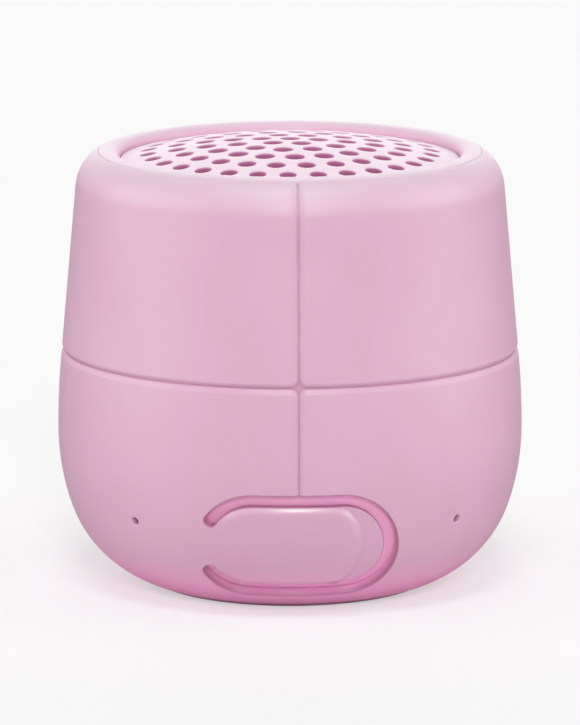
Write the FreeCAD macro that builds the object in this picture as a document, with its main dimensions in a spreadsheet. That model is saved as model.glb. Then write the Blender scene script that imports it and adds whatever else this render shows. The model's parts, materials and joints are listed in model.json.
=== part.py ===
"""A palm-size floating shower speaker, modelled the way it comes apart on a bench.

A silicone skin with a living-hinge port flap wraps a two-part housing. A domed grille
in a bezel covers the upward-firing driver. A cell, a round board with its socket, and
a button under the base make up the rest. Millimetres, +Z up, front towards -Y, origin
at the middle of the base on the surface that the speaker stands on.
"""
import FreeCAD, Part
import Sketcher
import math
import os
import re

# Every driving size: name, value, meaning. Angles are in degrees.
SIZES = (
    # outer form of the skin, as arcs that run into each other from the base to the rim
    ("body_radius", 41.5, "widest radius of the skin"),
    ("skin_base", 0.8, "height of the skin's flat underside"),
    ("heel_arc", 3.1, "radius of the bottom edge"),
    ("bowl_arc", 21.6, "radius of the bowl above the bottom edge"),
    ("bowl_angle", 67.6, "where the bowl starts, below level"),
    ("side_arc", 42.5, "radius of the side above the bowl"),
    ("side_angle", 18.8, "where the side arc starts, below level"),
    ("belly_arc", 140.0, "radius of the belly above the widest level"),
    ("draft_angle", 5.1, "lean of the straight upper wall"),
    ("shoulder_arc", 8.0, "radius of the top edge, outer part"),
    ("crest_arc", 4.6, "radius of the top edge, at the crest"),
    ("crest_angle", 50.0, "where the crest arc starts, above level"),
    ("crest_height", 77.8, "height of the rim's crest"),
    ("parting_angle", 67.0, "where the skin ends and the bezel starts"),
    ("parting_gap", 2.5, "open line between skin and bezel, as an angle"),
    ("skin_wall", 1.6, "wall of the skin"),
    ("skin_fit", 0.05, "space between skin and housing"),
    # lines and small holes in the skin
    ("groove_level", 42.2, "height of the level groove"),
    ("groove_width", 0.5, "width of the grooves"),
    ("groove_depth", 0.5, "depth of the grooves"),
    ("pinhole_radius", 0.7, "radius of the two pinholes"),
    ("pinhole_level", 16.3, "height of the two pinholes"),
    ("pinhole_azimuth", 45.0, "turn of each pinhole from the front"),
    # port flap
    ("flap_level", 13.3, "height of the flap's centre line"),
    ("flap_left", 8.0, "reach of the flap's straight part to the left"),
    ("flap_right", 7.6, "reach of the flap's straight part to the right"),
    ("flap_arc", 7.8, "radius of the flap's ends"),
    ("slot_width", 2.1, "width of the slot round the flap"),
    ("hinge_reach", 14.5, "where the flap's hinge edge is, to the left"),
    ("hinge_gap", 0.35, "space between hinge edge and skin"),
    ("flap_back_gap", 0.3, "space between flap and housing"),
    ("tab_depth", 0.7, "depth of the finger step at the flap's right end"),
    ("tab_arc", 9.3, "radius of the finger step's edge"),
    ("tab_centre", 2.2, "centre of the finger step's edge, to the right"),
    ("plug_root", 5.7, "half width of the flap's plug at the flap"),
    ("plug_tip", 4.6, "half width of the flap's plug at its tip"),
    ("plug_root_height", 2.6, "half height of the plug at the flap"),
    ("plug_tip_height", 1.9, "half height of the plug at its tip"),
    ("plug_gap", 0.5, "space between plug and socket"),
    # grille and bezel
    ("grille_rise", 1.8, "height of the grille's middle above the rim's crest"),
    ("grille_sphere", 131.0, "radius of the grille's dome"),
    ("crest_land", 2.18, "distance from the rim's crest to the grille"),
    ("grille_wall", 1.2, "wall of the grille"),
    ("grille_fit", 0.1, "space round the grille"),
    ("grille_rim", 1.2, "width of the grille's flat seat"),
    ("grille_border", 4.9, "distance from the grille's edge to its outer ring of holes"),
    ("grille_turn", 21.0, "turn of each ring's first hole from the front"),
    ("grille_hole", 1.7, "radius of the grille's inner holes"),
    ("grille_hole_fourth", 1.55, "radius of the holes in the fourth ring"),
    ("grille_hole_outer", 1.42, "radius of the holes in the outer ring"),
    ("mesh_inset", 1.6, "how much smaller the mesh is than the grille"),
    ("mesh_wall", 0.2, "thickness of the mesh under the grille"),
    ("mesh_gap", 0.05, "space between mesh and grille"),
    ("lip_arc", 2.3, "radius of the bezel's inner edge"),
    ("bezel_depth", 4.6, "depth of the bezel's seat under the rim's crest"),
    ("shelf_width", 1.8, "width of the bezel's shelf under the grille"),
    ("bezel_fit", 0.1, "space round the bezel"),
    # housing
    ("housing_wall", 1.8, "wall of the housing"),
    ("split_level", 42.2, "height of the joint between the housings"),
    ("flange_height", 3.0, "height of each housing's joint flange"),
    ("flange_width", 3.4, "width of the joint flange inside the wall"),
    ("seal_width", 1.6, "width of the joint seal"),
    ("seal_height", 1.2, "height of the joint seal"),
    ("seal_inset", 2.2, "wall outside the joint seal"),
    ("seal_fit", 0.03, "space round the joint seal"),
    ("rim_gap", 0.4, "how much wider the opening above the driver is than the grille"),
    ("ledge_depth", 9.4, "depth of the ledge that carries the driver, under the crest"),
    ("ledge_wall", 2.0, "thickness of that ledge"),
    ("post_inset", 14.5, "distance of the posts' circle from the widest radius"),
    ("post_radius", 2.9, "radius of the screw posts"),
    ("screw_radius", 1.0, "radius of the housing screws"),
    ("screw_head", 1.9, "radius of their heads"),
    ("screw_head_height", 1.4, "height of their heads"),
    ("screw_length", 18.0, "length of their shanks"),
    ("screw_fit", 0.15, "space round a screw in its clearance hole"),
    ("thread_fit", 0.02, "space round a screw in the hole that holds it"),
    ("thread_spare", 1.0, "depth of that hole past the screw's end"),
    ("head_seat", 5.4, "height at which the screw heads seat"),
    # base
    ("skin_land", 0.93, "flat of the skin's underside round the foot pad"),
    ("foot_gap", 0.6, "space between foot pad and button"),
    ("foot_fit", 0.1, "space round the foot pad"),
    ("foot_edge", 0.5, "rounding of the foot pad's lower edges"),
    ("button_radius", 12.8, "radius of the power button"),
    ("button_level", 0.6, "height of the button's face at its rim"),
    ("button_dish", 120.0, "radius of the button's hollow face"),
    ("button_wall", 1.3, "thickness of the button's rim"),
    ("button_travel", 0.5, "travel of the button"),
    ("stem_radius", 3.0, "radius of the button's stem"),
    ("stem_fit", 0.08, "running clearance of the stem"),
    ("boss_radius", 7.0, "radius of the stem's boss"),
    ("boss_level", 5.7, "height of the stem's boss"),
    ("clip_radius", 4.6, "outer radius of the stem's clip"),
    ("clip_wall", 0.4, "thickness of the stem's clip"),
    ("clip_groove", 0.6, "depth of the clip's groove"),
    ("clip_gap", 0.05, "space between clip and boss at rest"),
    ("o_ring_radius", 4.9, "outer radius of the stem's seal"),
    ("o_ring_height", 1.5, "height of the stem's seal"),
    ("o_ring_fit", 0.05, "space round the stem's seal"),
    # board
    ("board_level", 10.1, "height of the board's underside"),
    ("board_wall", 1.6, "thickness of the board"),
    ("board_gap", 1.8, "space between board and housing"),
    ("board_front_gap", 0.6, "distance of the board's front edge from the port block's face"),
    ("board_hole", 1.3, "radius of the board's screw holes"),
    ("switch_side", 6.0, "side of the tact switch"),
    ("switch_height", 2.2, "height of the tact switch"),
    ("plunger_radius", 1.5, "radius of the switch's plunger"),
    ("plunger_reach", 1.2, "how far the plunger stands out"),
    ("plunger_depth", 1.2, "how far the plunger goes into the switch"),
    ("plunger_fit", 0.08, "running clearance of the plunger"),
    ("plunger_gap", 0.05, "space between stem and plunger"),
    ("can_length", 16.0, "length of the shield can"),
    ("can_width", 12.0, "width of the shield can"),
    ("can_height", 2.0, "height of the shield can"),
    ("can_place", 16.0, "how far behind the middle the can sits"),
    ("chip_side", 5.0, "side of the amplifier and charger chips"),
    ("chip_height", 1.0, "height of those chips"),
    ("chip_reach", 20.0, "distance of the chips from the middle"),
    ("capacitor_radius", 1.6, "radius of the capacitors"),
    ("capacitor_height", 3.2, "height of the capacitors"),
    ("capacitor_row", 12.0, "how far in front of the middle their row is"),
    ("capacitor_step", 4.4, "step between the capacitors"),
    # socket and port
    ("socket_width", 8.94, "width of the socket's shell"),
    ("socket_height", 3.2, "height of the socket's shell"),
    ("socket_length", 7.3, "length of the socket's shell"),
    ("socket_corner", 1.3, "corner radius of the socket's shell"),
    ("socket_wall", 0.3, "wall of the socket's shell"),
    ("socket_depth", 4.56, "depth of the socket's mouth under the skin"),
    ("socket_fit", 0.1, "space round the socket in the port block"),
    ("tongue_width", 6.7, "width of the socket's tongue"),
    ("tongue_wall", 0.7, "thickness of the socket's tongue"),
    ("tongue_setback", 1.0, "how far the tongue stays behind the mouth"),
    ("port_width", 12.5, "width of the port's recess"),
    ("port_height", 6.5, "height of the port's recess"),
    ("port_corner", 1.2, "corner radius of the port's recess"),
    ("port_rim", 1.6, "wall of the port block round its recess"),
    ("block_depth", 3.4, "depth of the port block behind the socket's mouth"),
    ("gasket_rim", 0.8, "width of the socket's gasket"),
    ("gasket_length", 1.5, "length of the socket's gasket"),
    ("gasket_fit", 0.02, "space round the socket's gasket"),
    # microphone and light
    ("sleeve_wall", 1.0, "wall of the two sleeves behind the pinholes"),
    ("sleeve_depth", 7.87, "depth of the sleeves' inner ends under the skin"),
    ("boot_radius", 3.0, "radius of the microphone's boot"),
    ("boot_depth", 4.87, "depth of the boot's front under the skin"),
    ("boot_length", 3.0, "length of the microphone's boot"),
    ("boot_fit", 0.03, "space round the boot"),
    ("mic_radius", 2.0, "radius of the microphone"),
    ("mic_length", 2.0, "length of the microphone"),
    ("pipe_radius", 1.0, "radius of the light pipe"),
    ("pipe_depth", 2.17, "depth of the light pipe's front under the skin"),
    ("pipe_fit", 0.03, "space round the light pipe"),
    ("pipe_collar", 1.8, "length of the light pipe's collar"),
    ("led_side", 4.0, "width of the status light's holder"),
    ("led_depth", 1.2, "depth of the status light's holder"),
    ("led_place_depth", 8.57, "depth of that holder's front under the skin"),
    ("led_radius", 1.4, "radius of the status light"),
    # cell
    ("cell_radius", 9.1, "radius of the cell"),
    ("cell_length", 50.0, "length of the cell"),
    ("cell_level", 27.5, "height of the cell's axis"),
    ("cell_cap_radius", 3.2, "radius of the cell's positive cap"),
    ("cell_cap_height", 1.0, "height of the cell's positive cap"),
    ("cell_fit", 0.1, "space between cell and tray"),
    ("tray_wall", 1.6, "wall of the cell's tray"),
    ("tray_length", 40.0, "length of the tray"),
    ("tray_rise", 3.0, "how far the tray's sides stay below the cell's axis"),
    ("tray_leg", 3.0, "side of the tray's legs"),
    ("lead_radius", 0.6, "radius of the inner leads"),
    # driver
    ("gasket_wall", 0.6, "thickness of the driver's gasket"),
    ("driver_rim", 1.9, "flange of the driver outside its screws' circle"),
    ("driver_wall", 1.2, "thickness of the driver's flange"),
    ("frame_gap", 0.7, "space between the basket and the screw posts"),
    ("frame_fit", 0.4, "space round the basket in the ledge"),
    ("frame_wall", 1.0, "wall of the basket"),
    ("frame_depth", 12.0, "depth of the basket"),
    ("frame_floor", 15.2, "radius of the basket's floor"),
    ("window_width", 11.0, "width of the basket's windows"),
    ("window_height", 4.2, "height of the basket's windows"),
    ("spider_level", 4.4, "height of the spider's seat above the basket's floor"),
    ("spider_radius", 16.6, "radius of the spider"),
    ("spider_seat", 1.8, "width of the spider's seat"),
    ("spider_wall", 0.3, "thickness of the spider"),
    ("spider_wave", 0.5, "height of the spider's waves"),
    ("spider_land", 0.9, "width of the spider's inner glued edge"),
    ("terminal_width", 8.0, "width of the basket's terminal tab"),
    ("terminal_reach", 20.8, "how far the terminal tab reaches from the axis"),
    ("terminal_wall", 1.0, "thickness of the terminal tab"),
    ("terminal_step", 4.0, "step between the two speaker leads"),
    ("driver_screw_land", 2.2, "distance of the driver's screws from the basket"),
    ("driver_screw_radius", 0.8, "radius of the driver's screws"),
    ("driver_screw_head", 1.5, "radius of their heads"),
    ("driver_screw_head_height", 0.9, "height of their heads"),
    ("driver_screw_length", 5.0, "length of their shanks"),
    ("plate_wall", 3.0, "thickness of the top plate"),
    ("plate_radius", 15.0, "radius of the top plate"),
    ("plate_bore", 7.4, "radius of the gap's outer wall"),
    ("magnet_radius", 16.0, "radius of the magnet"),
    ("magnet_bore", 8.6, "radius of the magnet's hole"),
    ("magnet_wall", 6.0, "thickness of the magnet"),
    ("yoke_wall", 3.0, "thickness of the yoke's plate"),
    ("yoke_radius", 14.6, "radius of the yoke's plate"),
    ("pole_radius", 6.0, "radius of the pole"),
    ("pole_bore", 2.0, "radius of the pole's vent"),
    ("coil_bore", 6.3, "inner radius of the coil's former"),
    ("former_wall", 0.25, "wall of the coil's former"),
    ("winding_wall", 0.4, "thickness of the winding"),
    ("winding_height", 4.4, "height of the winding"),
    ("winding_overhang", 0.7, "winding that stands out of the gap each way"),
    ("roll_width", 4.4, "width of the surround between basket and cone"),
    ("cone_wall", 0.4, "wall of the cone"),
    ("cone_depth", 6.6, "depth of the cone"),
    ("cap_radius", 8.4, "radius of the dust cap"),
    ("cap_sphere", 13.0, "radius of the dust cap's dome"),
    ("cap_wall", 0.4, "wall of the dust cap"),
    ("roll_wall", 0.4, "wall of the surround"),
    ("roll_land", 1.2, "width of the surround's glued edges"),
)

# Values worked out from the sizes: name, formula.
LAYOUT = (
    ("heel_level", "skin_base + heel_arc"),
    ("bowl_level", "heel_level + (bowl_arc - heel_arc) * sin(bowl_angle)"),
    ("belly_level", "bowl_level + (side_arc - bowl_arc) * sin(side_angle)"),
    ("side_axis", "body_radius - side_arc"),
    ("belly_axis", "body_radius - belly_arc"),
    ("bowl_axis", "side_axis + (side_arc - bowl_arc) * cos(side_angle)"),
    ("heel_axis", "bowl_axis + (bowl_arc - heel_arc) * cos(bowl_angle)"),
    ("crest_level", "crest_height - crest_arc"),
    ("shoulder_level", "crest_level + (crest_arc - shoulder_arc) * sin(crest_angle)"),
    ("shoulder_axis", "belly_axis + (belly_arc - shoulder_arc) / cos(draft_angle)"
                      " + (belly_level - shoulder_level) * tan(draft_angle)"),
    ("crest_axis", "shoulder_axis + (shoulder_arc - crest_arc) * cos(crest_angle)"),
    ("housing_inset", "skin_wall + skin_fit"),
    ("inner_inset", "housing_inset + housing_wall"),
    ("housing_base", "skin_base + housing_inset"),
    ("housing_floor", "housing_base + housing_wall"),
    ("foot_radius", "heel_axis - skin_land"),
    ("foot_bore", "button_radius + foot_gap"),
    ("post_circle", "body_radius - post_inset"),
    ("port_surface", "bowl_axis + sqrt(bowl_arc ^ 2 - (bowl_level - flap_level) ^ 2)"),
    ("socket_face", "port_surface - socket_depth"),
    ("block_face", "socket_face - block_depth"),
    ("pinhole_surface", "bowl_axis + sqrt(bowl_arc ^ 2 - (bowl_level - pinhole_level) ^ 2)"),
    ("sleeve_end", "pinhole_surface - sleeve_depth"),
    ("boot_face", "pinhole_surface - boot_depth"),
    ("pipe_face", "pinhole_surface - pipe_depth"),
    ("led_place", "pinhole_surface - led_place_depth"),
    ("board_radius", "bowl_axis + sqrt((bowl_arc - inner_inset) ^ 2 - (bowl_level - board_level) ^ 2)"
                     " - board_gap"),
    ("board_flat", "block_face - board_front_gap"),
    ("grille_radius", "crest_axis - crest_land"),
    ("grille_pitch", "(grille_radius - grille_border) / 5"),
    ("grille_apex", "crest_height + grille_rise"),
    ("mesh_radius", "grille_radius - mesh_inset"),
    ("bezel_shelf", "grille_radius - shelf_width"),
    ("bezel_base", "crest_height - bezel_depth"),
    ("rim_bore", "grille_radius + rim_gap"),
    ("ledge_level", "crest_height - ledge_depth"),
    ("frame_radius", "post_circle - post_radius - frame_gap"),
    ("cone_radius", "frame_radius - frame_wall - roll_width"),
    ("driver_screw_circle", "frame_radius + driver_screw_land"),
    ("driver_radius", "driver_screw_circle + driver_rim"),
    ("dome_level", "grille_apex - grille_sphere"),
    ("grille_edge", "dome_level + sqrt(grille_sphere ^ 2 - grille_radius ^ 2)"),
    ("grille_seat", "grille_edge - grille_wall"),
    ("bezel_bore", "grille_radius + grille_fit"),
    ("bezel_outer", "crest_axis + (crest_arc - housing_inset) * cos(parting_angle)"),
    ("board_top", "board_level + board_wall"),
    ("socket_level", "board_top + socket_height / 2"),
    ("driver_level", "ledge_level + gasket_wall"),
    ("frame_base", "driver_level - frame_depth"),
    ("plate_base", "frame_base - plate_wall"),
    ("magnet_base", "plate_base - magnet_wall"),
    ("yoke_base", "magnet_base - yoke_wall"),
    ("flange_top", "driver_level + driver_wall"),
    ("spider_seat_level", "frame_base + spider_level"),
    ("former_radius", "coil_bore + former_wall"),
    ("winding_base", "plate_base - winding_overhang"),
    ("cone_neck_level", "flange_top - cone_depth"),
    ("cone_land", "cone_radius - roll_land"),
    ("cone_slope", "(cone_depth - cone_wall) / (cone_land - former_radius)"),
    ("cone_rise", "cone_wall * sqrt(1 + cone_slope ^ 2)"),
    ("cap_base", "cone_neck_level + cone_rise + (cap_radius - former_radius) * cone_slope"),
    ("frame_bore", "frame_radius - frame_wall"),
    ("roll_middle", "(frame_bore + cone_radius) / 2"),
    ("roll_outer", "(frame_bore - cone_radius) / 2"),
    ("roll_inner", "roll_outer - roll_wall"),
    ("stem_top", "board_level - switch_height - plunger_reach - plunger_gap"),
    ("wall_foot_radius", "belly_axis + belly_arc * cos(draft_angle)"),
    ("wall_foot_level", "belly_level + belly_arc * sin(draft_angle)"),
    ("joint_radius", "wall_foot_radius - (split_level - wall_foot_level) * tan(draft_angle)"
                     " - housing_inset / cos(draft_angle)"),
)

DOC = FreeCAD.newDocument("shower_speaker")
WORD = re.compile(r"[a-z_]{3,}")
SHEET_OF = {}
NODES = {}


def make_sheet(label, rows):
    """Fill one spreadsheet; each row is a name, its cell text and, for sizes, a meaning."""
    sheet = DOC.addObject("Spreadsheet::Sheet", label)
    for number, row in enumerate(rows, 1):
        sheet.set("A%d" % number, row[0])
        sheet.set("B%d" % number, row[1])
        sheet.setAlias("B%d" % number, row[0])
        if len(row) > 2:
            sheet.set("C%d" % number, row[2])
        SHEET_OF[row[0]] = label
    return sheet


def full(text):
    """Write an expression out with the sheet of every size that it names."""
    return WORD.sub(lambda m: SHEET_OF[m[0]] + "." + m[0] if m[0] in SHEET_OF else m[0], text)


def value(text):
    """Work out an expression in named sizes."""
    return float(SIZE_SHEET.evalExpression(full(text)))


SIZE_SHEET = make_sheet("Sizes", [(name, str(size), note) for name, size, note in SIZES])
for layout_name, _formula in LAYOUT:
    SHEET_OF[layout_name] = "Layout"
LAYOUT_SHEET = make_sheet("Layout", [(name, "=" + full(formula)) for name, formula in LAYOUT])
DOC.recompute()


# ---------------------------------------------------------------- sketches

def arc_through(first, last, radius, turn):
    """The arc of less than half a turn between two points, and which of its ends is first."""
    middle = (first + last) * 0.5
    chord = last - first
    half = chord.Length / 2
    left = FreeCAD.Vector(-chord.y, chord.x, 0) / chord.Length
    centre = middle + left * (turn * math.sqrt(max(radius ** 2 - half ** 2, 0.0)))
    from_end, to_end = (first, last) if turn > 0 else (last, first)
    start = math.atan2(from_end.y - centre.y, from_end.x - centre.x)
    stop = math.atan2(to_end.y - centre.y, to_end.x - centre.x)
    circle = Part.Circle(centre, FreeCAD.Vector(0, 0, 1), radius)
    return Part.ArcOfCircle(circle, start, stop), (1, 2) if turn > 0 else (2, 1)


def tie(sketch, kind, text, *where):
    """Add a driving dimension that follows an expression."""
    index = sketch.addConstraint(Sketcher.Constraint(kind, *where, value(text)))
    sketch.setExpression("Constraints[%d]" % index, full(text))


def draw(sketch, outline):
    """Draw a closed outline: (x, y) ends a line, (x, y, radius, turn) ends an arc."""
    corners = [FreeCAD.Vector(value(step[0]), value(step[1]), 0) for step in outline]
    first_index = sketch.GeometryCount
    ends = []
    for number, step in enumerate(outline):
        before, here = corners[number - 1], corners[number]
        if len(step) == 2:
            sketch.addGeometry(Part.LineSegment(before, here), False)
            ends.append((1, 2))
        else:
            curve, order = arc_through(before, here, value(step[2]), step[3])
            sketch.addGeometry(curve, False)
            ends.append(order)
    for number, step in enumerate(outline):
        this = first_index + number
        after = first_index + (number + 1) % len(outline)
        next_start = ends[(number + 1) % len(outline)][0]
        sketch.addConstraint(Sketcher.Constraint(
            "Coincident", this, ends[number][1], after, next_start))
        for kind, text, axis in (("DistanceX", step[0], -2), ("DistanceY", step[1], -1)):
            if text == "0":
                sketch.addConstraint(Sketcher.Constraint("PointOnObject", this, ends[number][1], axis))
            else:
                tie(sketch, kind, text, this, ends[number][1])
        if len(step) == 4:
            tie(sketch, "Radius", step[2], this)
    return sketch


def draw_circle(sketch, x, y, radius):
    """Draw a circle with its centre and radius tied to expressions."""
    centre = FreeCAD.Vector(value(x), value(y), 0)
    index = sketch.addGeometry(Part.Circle(centre, FreeCAD.Vector(0, 0, 1), value(radius)), False)
    for kind, text, axis in (("DistanceX", x, -2), ("DistanceY", y, -1)):
        if text == "0":
            sketch.addConstraint(Sketcher.Constraint("PointOnObject", index, 3, axis))
        else:
            tie(sketch, kind, text, index, 3)
    tie(sketch, "Radius", radius, index)
    return sketch


def body_sketch(body, name, role, turn=None):
    """A sketch on one of a body's own origin planes, turned about the vertical if asked."""
    plane = next(item for item in body.Origin.OriginFeatures if item.Role == role)
    sketch = body.newObject("Sketcher::SketchObject", name)
    sketch.AttachmentSupport = (plane, "")
    sketch.MapMode = "FlatFace"
    if turn:
        sketch.setExpression("AttachmentOffset.Rotation.Axis.x", "0")
        sketch.setExpression("AttachmentOffset.Rotation.Axis.y", "1")
        sketch.setExpression("AttachmentOffset.Rotation.Axis.z", "0")
        sketch.setExpression("AttachmentOffset.Rotation.Angle", full(turn))
    return sketch


def rectangle(left, low, right, high):
    """The outline of an upright rectangle."""
    return [(left, low), (right, low), (right, high), (left, high)]


# ---------------------------------------------------------------- bodies

def new_body(label):
    """A PartDesign body with its own label."""
    body = DOC.addObject("PartDesign::Body", label)
    body.Label = label
    return body


def turned(label, outline, angle=None):
    """A body turned about the vertical axis from an outline in the XZ plane."""
    body = new_body(label)
    sketch = draw(body_sketch(body, label + "_outline", "XZ_Plane"), outline)
    turn = body.newObject("PartDesign::Revolution", label + "_turn")
    turn.Profile = sketch
    turn.ReferenceAxis = (sketch, ["V_Axis"])
    turn.Angle = angle or 360
    turn.Midplane = angle is not None
    return body


def pocket(body, sketch, name, reverse=False, depth=None, both=False):
    """Cut a sketch through a body, or to a depth, and make sure that it took something away."""
    DOC.recompute()
    before = body.Shape.Volume
    cut = body.newObject("PartDesign::Pocket", name)
    cut.Profile = sketch
    if depth is None:
        cut.Type = "ThroughAll"
    else:
        cut.Type = "Length"
        cut.setExpression("Length", full(depth))
    cut.Midplane = both
    cut.Reversed = reverse
    DOC.recompute()
    if not body.Shape.Volume < before:
        raise RuntimeError("%s cut nothing" % name)
    return cut


def pad(body, sketch, name, height):
    """Raise a sketch by a height."""
    raised = body.newObject("PartDesign::Pad", name)
    raised.Profile = sketch
    raised.setExpression("Length", full(height))
    return raised


def around(body, feature, name, count):
    """Repeat a feature at even steps about the vertical axis."""
    axis = next(item for item in body.Origin.OriginFeatures if item.Role == "Z_Axis")
    pattern = body.newObject("PartDesign::PolarPattern", name)
    pattern.Originals = [feature]
    pattern.Axis = (axis, [""])
    pattern.Angle = 360
    pattern.Occurrences = count
    body.Tip = pattern
    return pattern


def keep(node, thing):
    """Name an object as one of the finished pieces."""
    thing.Label = node
    NODES[node] = thing
    return thing


# ---------------------------------------------------------------- primitives

def place(thing, x="0", y="0", z="0", axis=None, angle=None):
    """Tie a primitive's position, and its turn about one axis, to expressions."""
    for letter, text in zip("xyz", (x, y, z)):
        if text != "0":
            thing.setExpression("Placement.Base." + letter, full(text))
    if axis:
        for letter, part in zip("xyz", axis):
            thing.setExpression("Placement.Rotation.Axis." + letter, str(part))
        thing.setExpression("Placement.Rotation.Angle", full(angle))
    return thing


def cylinder(label, radius, height, x="0", y="0", z="0", axis=None, angle=None):
    """An upright cylinder on (x, y, z), unless it is turned."""
    thing = DOC.addObject("Part::Cylinder", label)
    thing.setExpression("Radius", full(radius))
    thing.setExpression("Height", full(height))
    return place(thing, x, y, z, axis, angle)


def block(label, width, depth, height, x="0", y="0", z="0"):
    """A box centred on x, from y backwards and from z upwards."""
    thing = DOC.addObject("Part::Box", label)
    thing.setExpression("Length", full(width))
    thing.setExpression("Width", full(depth))
    thing.setExpression("Height", full(height))
    return place(thing, "(%s) - (%s) / 2" % (x, width), y, z)


def radial(label, radius, start, end, side):
    """A level cylinder that runs outwards from the axis at a pinhole; side is 1 or -1."""
    x = "%d * (%s) * sin(pinhole_azimuth)" % (side, start)
    y = "-(%s) * cos(pinhole_azimuth)" % start
    thing = cylinder(label, radius, "(%s) - (%s)" % (end, start), x, y, "pinhole_level")
    thing.setExpression("Placement.Rotation.Axis.x", full("cos(pinhole_azimuth)"))
    thing.setExpression("Placement.Rotation.Axis.y", full("%d * sin(pinhole_azimuth)" % side))
    thing.setExpression("Placement.Rotation.Axis.z", "0")
    thing.setExpression("Placement.Rotation.Angle", "90")
    return thing


def fuse(label, *things):
    """Join several solids."""
    thing = DOC.addObject("Part::MultiFuse", label)
    thing.Shapes = list(things)
    thing.Refine = True
    return thing


def cut_from(label, base, *tools):
    """Take one or more solids away from another."""
    thing = DOC.addObject("Part::Cut", label)
    thing.Base = base
    thing.Tool = tools[0] if len(tools) == 1 else fuse(label + "_tools", *tools)
    thing.Refine = True
    return thing


def common(label, base, tool):
    """The part that two solids share."""
    thing = DOC.addObject("Part::Common", label)
    thing.Base = base
    thing.Tool = tool
    thing.Refine = True
    return thing


def group(label, things):
    """Several separate solids in one object."""
    thing = DOC.addObject("Part::Compound", label)
    thing.Links = list(things)
    return thing


def four_places(radius_name, turn=45):
    """The four points of a circle at even steps, as expressions."""
    for quarter in range(4):
        degrees = turn + 90 * quarter
        yield "%s * cos(%d)" % (radius_name, degrees), "%s * sin(%d)" % (radius_name, degrees)


def prism(label, outline, near, far):
    """A body raised from an upright outline, from one distance in front of the axis to another."""
    body = new_body(label)
    sketch = draw(body_sketch(body, label + "_outline", "XZ_Plane"), outline)
    sketch.setExpression("AttachmentOffset.Base.z", full(near))
    pad(body, sketch, label + "_pad", "(%s) - (%s)" % (far, near))
    return body


def rounded(half_width, half_height, level, corner):
    """An upright rectangle with round corners, centred on the front line at a level."""
    low, high = "%s - (%s)" % (level, half_height), "%s + (%s)" % (level, half_height)
    inner, inner_low, inner_high = [text % corner for text in (
        "(" + half_width + ") - (%s)", low + " + (%s)", high + " - (%s)")]
    return [
        (inner, low),
        (half_width, inner_low, corner, 1), (half_width, inner_high),
        (inner, high, corner, 1), ("-(%s)" % inner, high),
        ("-(%s)" % half_width, inner_high, corner, 1), ("-(%s)" % half_width, inner_low),
        ("-(%s)" % inner, low, corner, 1),
    ]


# ---------------------------------------------------------------- outer form

def surface(inset):
    """The skin's outer form drawn inwards by an inset, from the underside to the parting line."""
    def bend(axis, level, arc, angle, sign):
        radius = "(%s - (%s))" % (arc, inset)
        return ("%s + %s * cos(%s)" % (axis, radius, angle),
                "%s %s %s * sin(%s)" % (level, sign, radius, angle))
    return [
        ("heel_axis", "skin_base + (%s)" % inset),
        bend("heel_axis", "heel_level", "heel_arc", "bowl_angle", "-") + ("heel_arc - (%s)" % inset, 1),
        bend("bowl_axis", "bowl_level", "bowl_arc", "side_angle", "-") + ("bowl_arc - (%s)" % inset, 1),
        ("body_radius - (%s)" % inset, "belly_level", "side_arc - (%s)" % inset, 1),
        bend("belly_axis", "belly_level", "belly_arc", "draft_angle", "+") + (
            "belly_arc - (%s)" % inset, 1),
        bend("shoulder_axis", "shoulder_level", "shoulder_arc", "draft_angle", "+"),
        bend("shoulder_axis", "shoulder_level", "shoulder_arc", "crest_angle", "+") + (
            "shoulder_arc - (%s)" % inset, 1),
        bend("crest_axis", "crest_level", "crest_arc", "parting_angle", "+") + (
            "crest_arc - (%s)" % inset, 1),
    ]


def backwards(steps):
    """The same run of lines and arcs, drawn the other way."""
    run = [steps[-1][:2]]
    for here, after in zip(reversed(steps[:-1]), reversed(steps[1:])):
        run.append(here[:2] + ((after[2], -after[3]) if len(after) == 4 else ()))
    return run


def mirrored(steps):
    """The same run on the other side of the vertical axis."""
    return [("-(%s)" % step[0], step[1]) + ((step[2], -step[3]) if len(step) == 4 else ())
            for step in steps]


def filled(label, inset):
    """The whole outer form as one solid, drawn inwards by an inset."""
    form = surface(inset)
    return turned(label, [("0", form[0][1])] + form + [("0", form[-1][1])])


def flap_outline(radius, reach):
    """A stadium on the flap's centre line, cut off straight at the hinge."""
    half = "sqrt((%s) ^ 2 - (%s - flap_left) ^ 2)" % (radius, reach)
    low, high = "flap_level - (%s)" % radius, "flap_level + (%s)" % radius
    return [
        ("-(%s)" % reach, "flap_level - " + half),
        ("-flap_left", low, radius, 1),
        ("flap_right", low),
        ("flap_right + (%s)" % radius, "flap_level", radius, 1),
        ("flap_right", high, radius, 1),
        ("-flap_left", high),
        ("-(%s)" % reach, "flap_level + " + half, radius, 1),
    ]


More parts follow.
